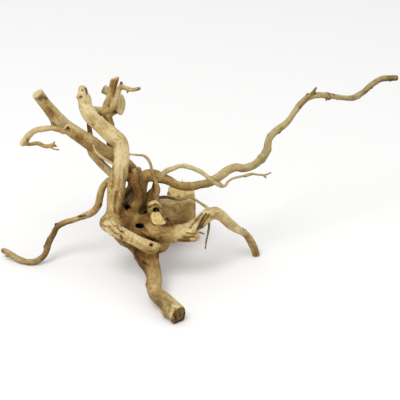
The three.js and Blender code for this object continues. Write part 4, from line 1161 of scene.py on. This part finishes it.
WOOD_TONES = [(0, (92, 62, 26)), (0.3, (140, 107, 57)), (0.6, (184, 156, 101)), (1, (224, 205, 154))]
AGED_TONES = [(0, (100, 90, 58)), (0.5, (152, 144, 106)), (1, (198, 188, 143))]
PITH_TONES = [(0.15, (160, 116, 56)), (0.38, (208, 176, 108)), (0.65, (232, 208, 148))]
HOLE_TONES = [(0.25, (104, 70, 30)), (0.8, (34, 24, 16))]
STAIN_TONE, BLOTCH_TONE, DIRT_AND_SHADE_TONE = (150, 104, 44), (110, 84, 44), (76, 48, 18)
# How much of each hides the wood under it, at the most.
STAIN_COVER, BLOTCH_COVER, AGE_COVER, DIRT_AND_SHADE_COVER = 0.35, 0.5, 0.8, 0.62
GRAIN_DEPTH = 0.6 * MM

material = new_material("bare_wood")
rough = painted("rough")
streaks = stretched(across=1.7, along=24, detail=5, distortion=0.5) - 0.5
fibres = stretched(across=0.6, along=8, detail=4) - 0.5
patches = stretched(across=5, along=9, detail=4, distortion=0.8) - 0.5
stains = stretched(across=9, along=16, detail=3, distortion=0.6) - 0.5
mottle = stretched(across=1, along=1.6, detail=4) - 0.5
tone = painted("tone") + streaks * (0.2 + rough * 0.8) + patches * 0.5 + fibres * (0.2 + rough) + mottle * 0.6
skin = ramp(tone.clamped(), WOOD_TONES)
skin = mix((stains * 5 - 0.35).clamped() * STAIN_COVER, skin, color(*STAIN_TONE))
blotches = stretched(across=2, along=3.4, detail=3, distortion=0.5) - 0.55
skin = mix((blotches * 7).clamped() * BLOTCH_COVER, skin, color(*BLOTCH_TONE))
weathered = (painted("grey") * (1 + patches * 3) + mottle * 0.4 + stains * 0.5).clamped()
skin = mix(weathered * AGE_COVER, skin, ramp(tone.clamped(), AGED_TONES))
skin = mix(painted("torn"), skin, ramp(fibres + mottle + 0.5, PITH_TONES))
# Painted shade in the clefts, partly dirt: the more enclosed a place is, the darker it is painted.
dirt_and_shade = (painted("occlusion") * 1.3 - 0.3).clamped() ** 1.2
skin = mix(dirt_and_shade * DIRT_AND_SHADE_COVER, skin, color(*DIRT_AND_SHADE_TONE))
# Dark knots and splits, and painted shade in holes and creases, from brown to near black.
skin = mix((painted("dark") * 1.15).clamped(), skin, ramp(painted("dark"), HOLE_TONES))
height = fibres * (0.35 + rough) + streaks * 0.4 + mottle * 0.8
grain_bump = Shade.node("ShaderNodeBump", {}, {"Height": height, "Strength": 0.8, "Distance": GRAIN_DEPTH})
roughness = (mottle * 0.3 + painted("dark") * 0.1 + 0.78).clamped()
surface = Shade.node("ShaderNodeBsdfPrincipled", {}, {
    "Base Color": skin, "Roughness": roughness, "Normal": grain_bump, "Specular IOR Level": 0.25,
})
Shade.node("ShaderNodeOutputMaterial", {}, {"Surface": surface})
wood.data.materials.append(material)
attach(wood, "root")
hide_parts("spiderwood_root")

# The splinters
# Where the wood broke, loose fibres stand out of it: dry, pale slivers, thin as bristles and bent at random.
# They grew with the rest, and are only too fine to be cut out of its skin.
FIBRE_SIDES = 4
FIBRE_RINGS = np.array([0, 0.35, 0.7, 1])
FIBRE_TAPER = np.array([1, 0.85, 0.55, 0.12])
FIBRE_RADIUS = (0.16, 0.34)
FIBRE_SUNK = 1.2
FIBRE_BEND = 0.5
FIBRE_OFF = (0.1, 0.85)
FIBRE_LEAN = 0.3
FIBRE_STRAY = 0.5
ASKEW = (0.3, 0.5, 0.8)
FIBRE_TONES = [(0, (120, 80, 38)), (0.5, (196, 164, 108)), (1, (238, 220, 172))]
# For each torn end: how many fibres, how long they are, how far they splay, and how pale they are.
BRISTLES = {
    "torn_arm": (90, (2, 4.5), 0.5, (0.3, 0.9)),
    "rear_stump": (90, (1, 2.6), 0.45, (0.6, 1)),
    "split_stub": (12, (0.4, 1.2), 0.3, (0.2, 0.6)),
    "front_stub": (36, (1, 2.4), 0.6, (0.5, 1)),
    "upright_spur": (10, (0.8, 1.6), 0.5, (0.6, 0.9)),
    "face_corner": (16, (1, 2), 0.6, (0.5, 1)),
}
draw = np.random.default_rng(7)
fibre_places, fibre_faces, fibre_tones = [], [], []
for root in roots:
    count, lengths, spread, tones = BRISTLES.get(root.name, (0, None, 0, None))
    for _ in range(count):
        turn, off = draw.uniform(-math.pi, math.pi), math.sqrt(draw.uniform(*FIBRE_OFF))
        outward = math.cos(turn) * root.side[-1] + math.sin(turn) * root.across[-1]
        foot = root.places[-1] + outward * off * root.radii[-1]
        foot = foot - root.along[-1] * ((foot - root.places[-1]) @ root.cut) / (root.along[-1] @ root.cut)
        splay = outward * off + draw.normal(size=3) * FIBRE_STRAY
        way = root.along[-1] + root.cut * FIBRE_LEAN + spread * splay
        way /= np.linalg.norm(way)
        bend = FIBRE_BEND * draw.normal(size=3)
        side = np.cross(way, ASKEW)
        side /= np.linalg.norm(side)
        across = np.cross(way, side)
        length, radius = draw.uniform(*lengths), draw.uniform(*FIBRE_RADIUS)
        first = len(fibre_places) * FIBRE_SIDES * len(FIBRE_RINGS)
        straight = foot + np.outer(FIBRE_RINGS * (length + FIBRE_SUNK) - FIBRE_SUNK, way)
        ring_at = straight + np.outer(FIBRE_RINGS ** 2, bend)
        angles = np.arange(FIBRE_SIDES) * 2 * math.pi / FIBRE_SIDES
        circle = np.outer(np.cos(angles), side) + np.outer(np.sin(angles), across)
        fibre_places.append((ring_at[:, None] + radius * FIBRE_TAPER[:, None, None] * circle).reshape(-1, 3))
        fibre_tones.append(draw.uniform(*tones))
        for ring in range(len(FIBRE_RINGS) - 1):
            for step in range(FIBRE_SIDES):
                a = first + ring * FIBRE_SIDES + step
                b = first + ring * FIBRE_SIDES + (step + 1) % FIBRE_SIDES
                fibre_faces += [(a, b, b + FIBRE_SIDES), (a, b + FIBRE_SIDES, a + FIBRE_SIDES)]
        last = first + (len(FIBRE_RINGS) - 1) * FIBRE_SIDES
        fibre_faces += [(last, last + 1, last + 2), (last, last + 2, last + 3)]
splinters = make_mesh("splinters", np.vstack(fibre_places), np.array(fibre_faces))
stored = splinters.data.attributes.new("tone", "FLOAT", "POINT")
stored.data.foreach_set("value", np.repeat(fibre_tones, FIBRE_SIDES * len(FIBRE_RINGS)).astype(np.float32))
material = new_material("torn_fibre")
speckle = Shade.node("ShaderNodeTexNoise", {}, {"Scale": 900.0, "Detail": 3.0}) - 0.5
fibre_color = ramp((painted("tone") + speckle * 0.5).clamped(), FIBRE_TONES)
surface = Shade.node("ShaderNodeBsdfPrincipled", {}, {
    "Base Color": fibre_color, "Roughness": (speckle * 0.3 + 0.8).clamped(), "Specular IOR Level": 0.2,
})
Shade.node("ShaderNodeOutputMaterial", {}, {"Surface": surface})
splinters.data.materials.append(material)
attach(splinters, "root")
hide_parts("spiderwood_root")

# The stage
# A plain pale floor, a soft light from the upper left in front, a weak one from the right, and a pale room
# round them that lights the rest.
FLOOR_HALF = 6
FLOOR_COLOR = (0.98, 0.98, 0.975, 1)
FLOOR_ROUGHNESS = 0.9
ROOM_COLOR = (1, 1, 1, 1)
ROOM_STRENGTH = 0.68
LIT_SPOT = (0, 0, 0.08)
# Each light's place, the width of its square, and its power.
LIGHTS = {
    "key_light": ((-0.7, -0.9, 2.1), 1.2, 25),
    "fill_light": ((1.4, -0.9, 1.0), 1.6, 3),
}
corners = [(x * FLOOR_HALF, y * FLOOR_HALF, 0) for x, y in ((-1, -1), (1, -1), (1, 1), (-1, 1))]
floor_mesh = bpy.data.meshes.new("floor")
floor_mesh.from_pydata(corners, [], [(0, 1, 2, 3)])
floor = bpy.data.objects.new("floor", floor_mesh)
bpy.context.scene.collection.objects.link(floor)
pale = bpy.data.materials.new("pale_floor")
pale.use_nodes = True
pale.node_tree.nodes["Principled BSDF"].inputs["Base Color"].default_value = FLOOR_COLOR
pale.node_tree.nodes["Principled BSDF"].inputs["Roughness"].default_value = FLOOR_ROUGHNESS
floor_mesh.materials.append(pale)
for name, (spot, size, watts) in LIGHTS.items():
    light = bpy.data.lights.new(name, "AREA")
    light.size, light.energy = size, watts
    lamp = bpy.data.objects.new(name, light)
    lamp.location = spot
    lamp.rotation_euler = (Vector(LIT_SPOT) - lamp.location).to_track_quat("-Z", "Y").to_euler()
    bpy.context.scene.collection.objects.link(lamp)
room = bpy.data.worlds.new("room")
bpy.context.scene.world = room
room.use_nodes = True
room.node_tree.nodes["Background"].inputs["Color"].default_value = ROOM_COLOR
room.node_tree.nodes["Background"].inputs["Strength"].default_value = ROOM_STRENGTH
bpy.context.scene.view_settings.view_transform = "Standard"
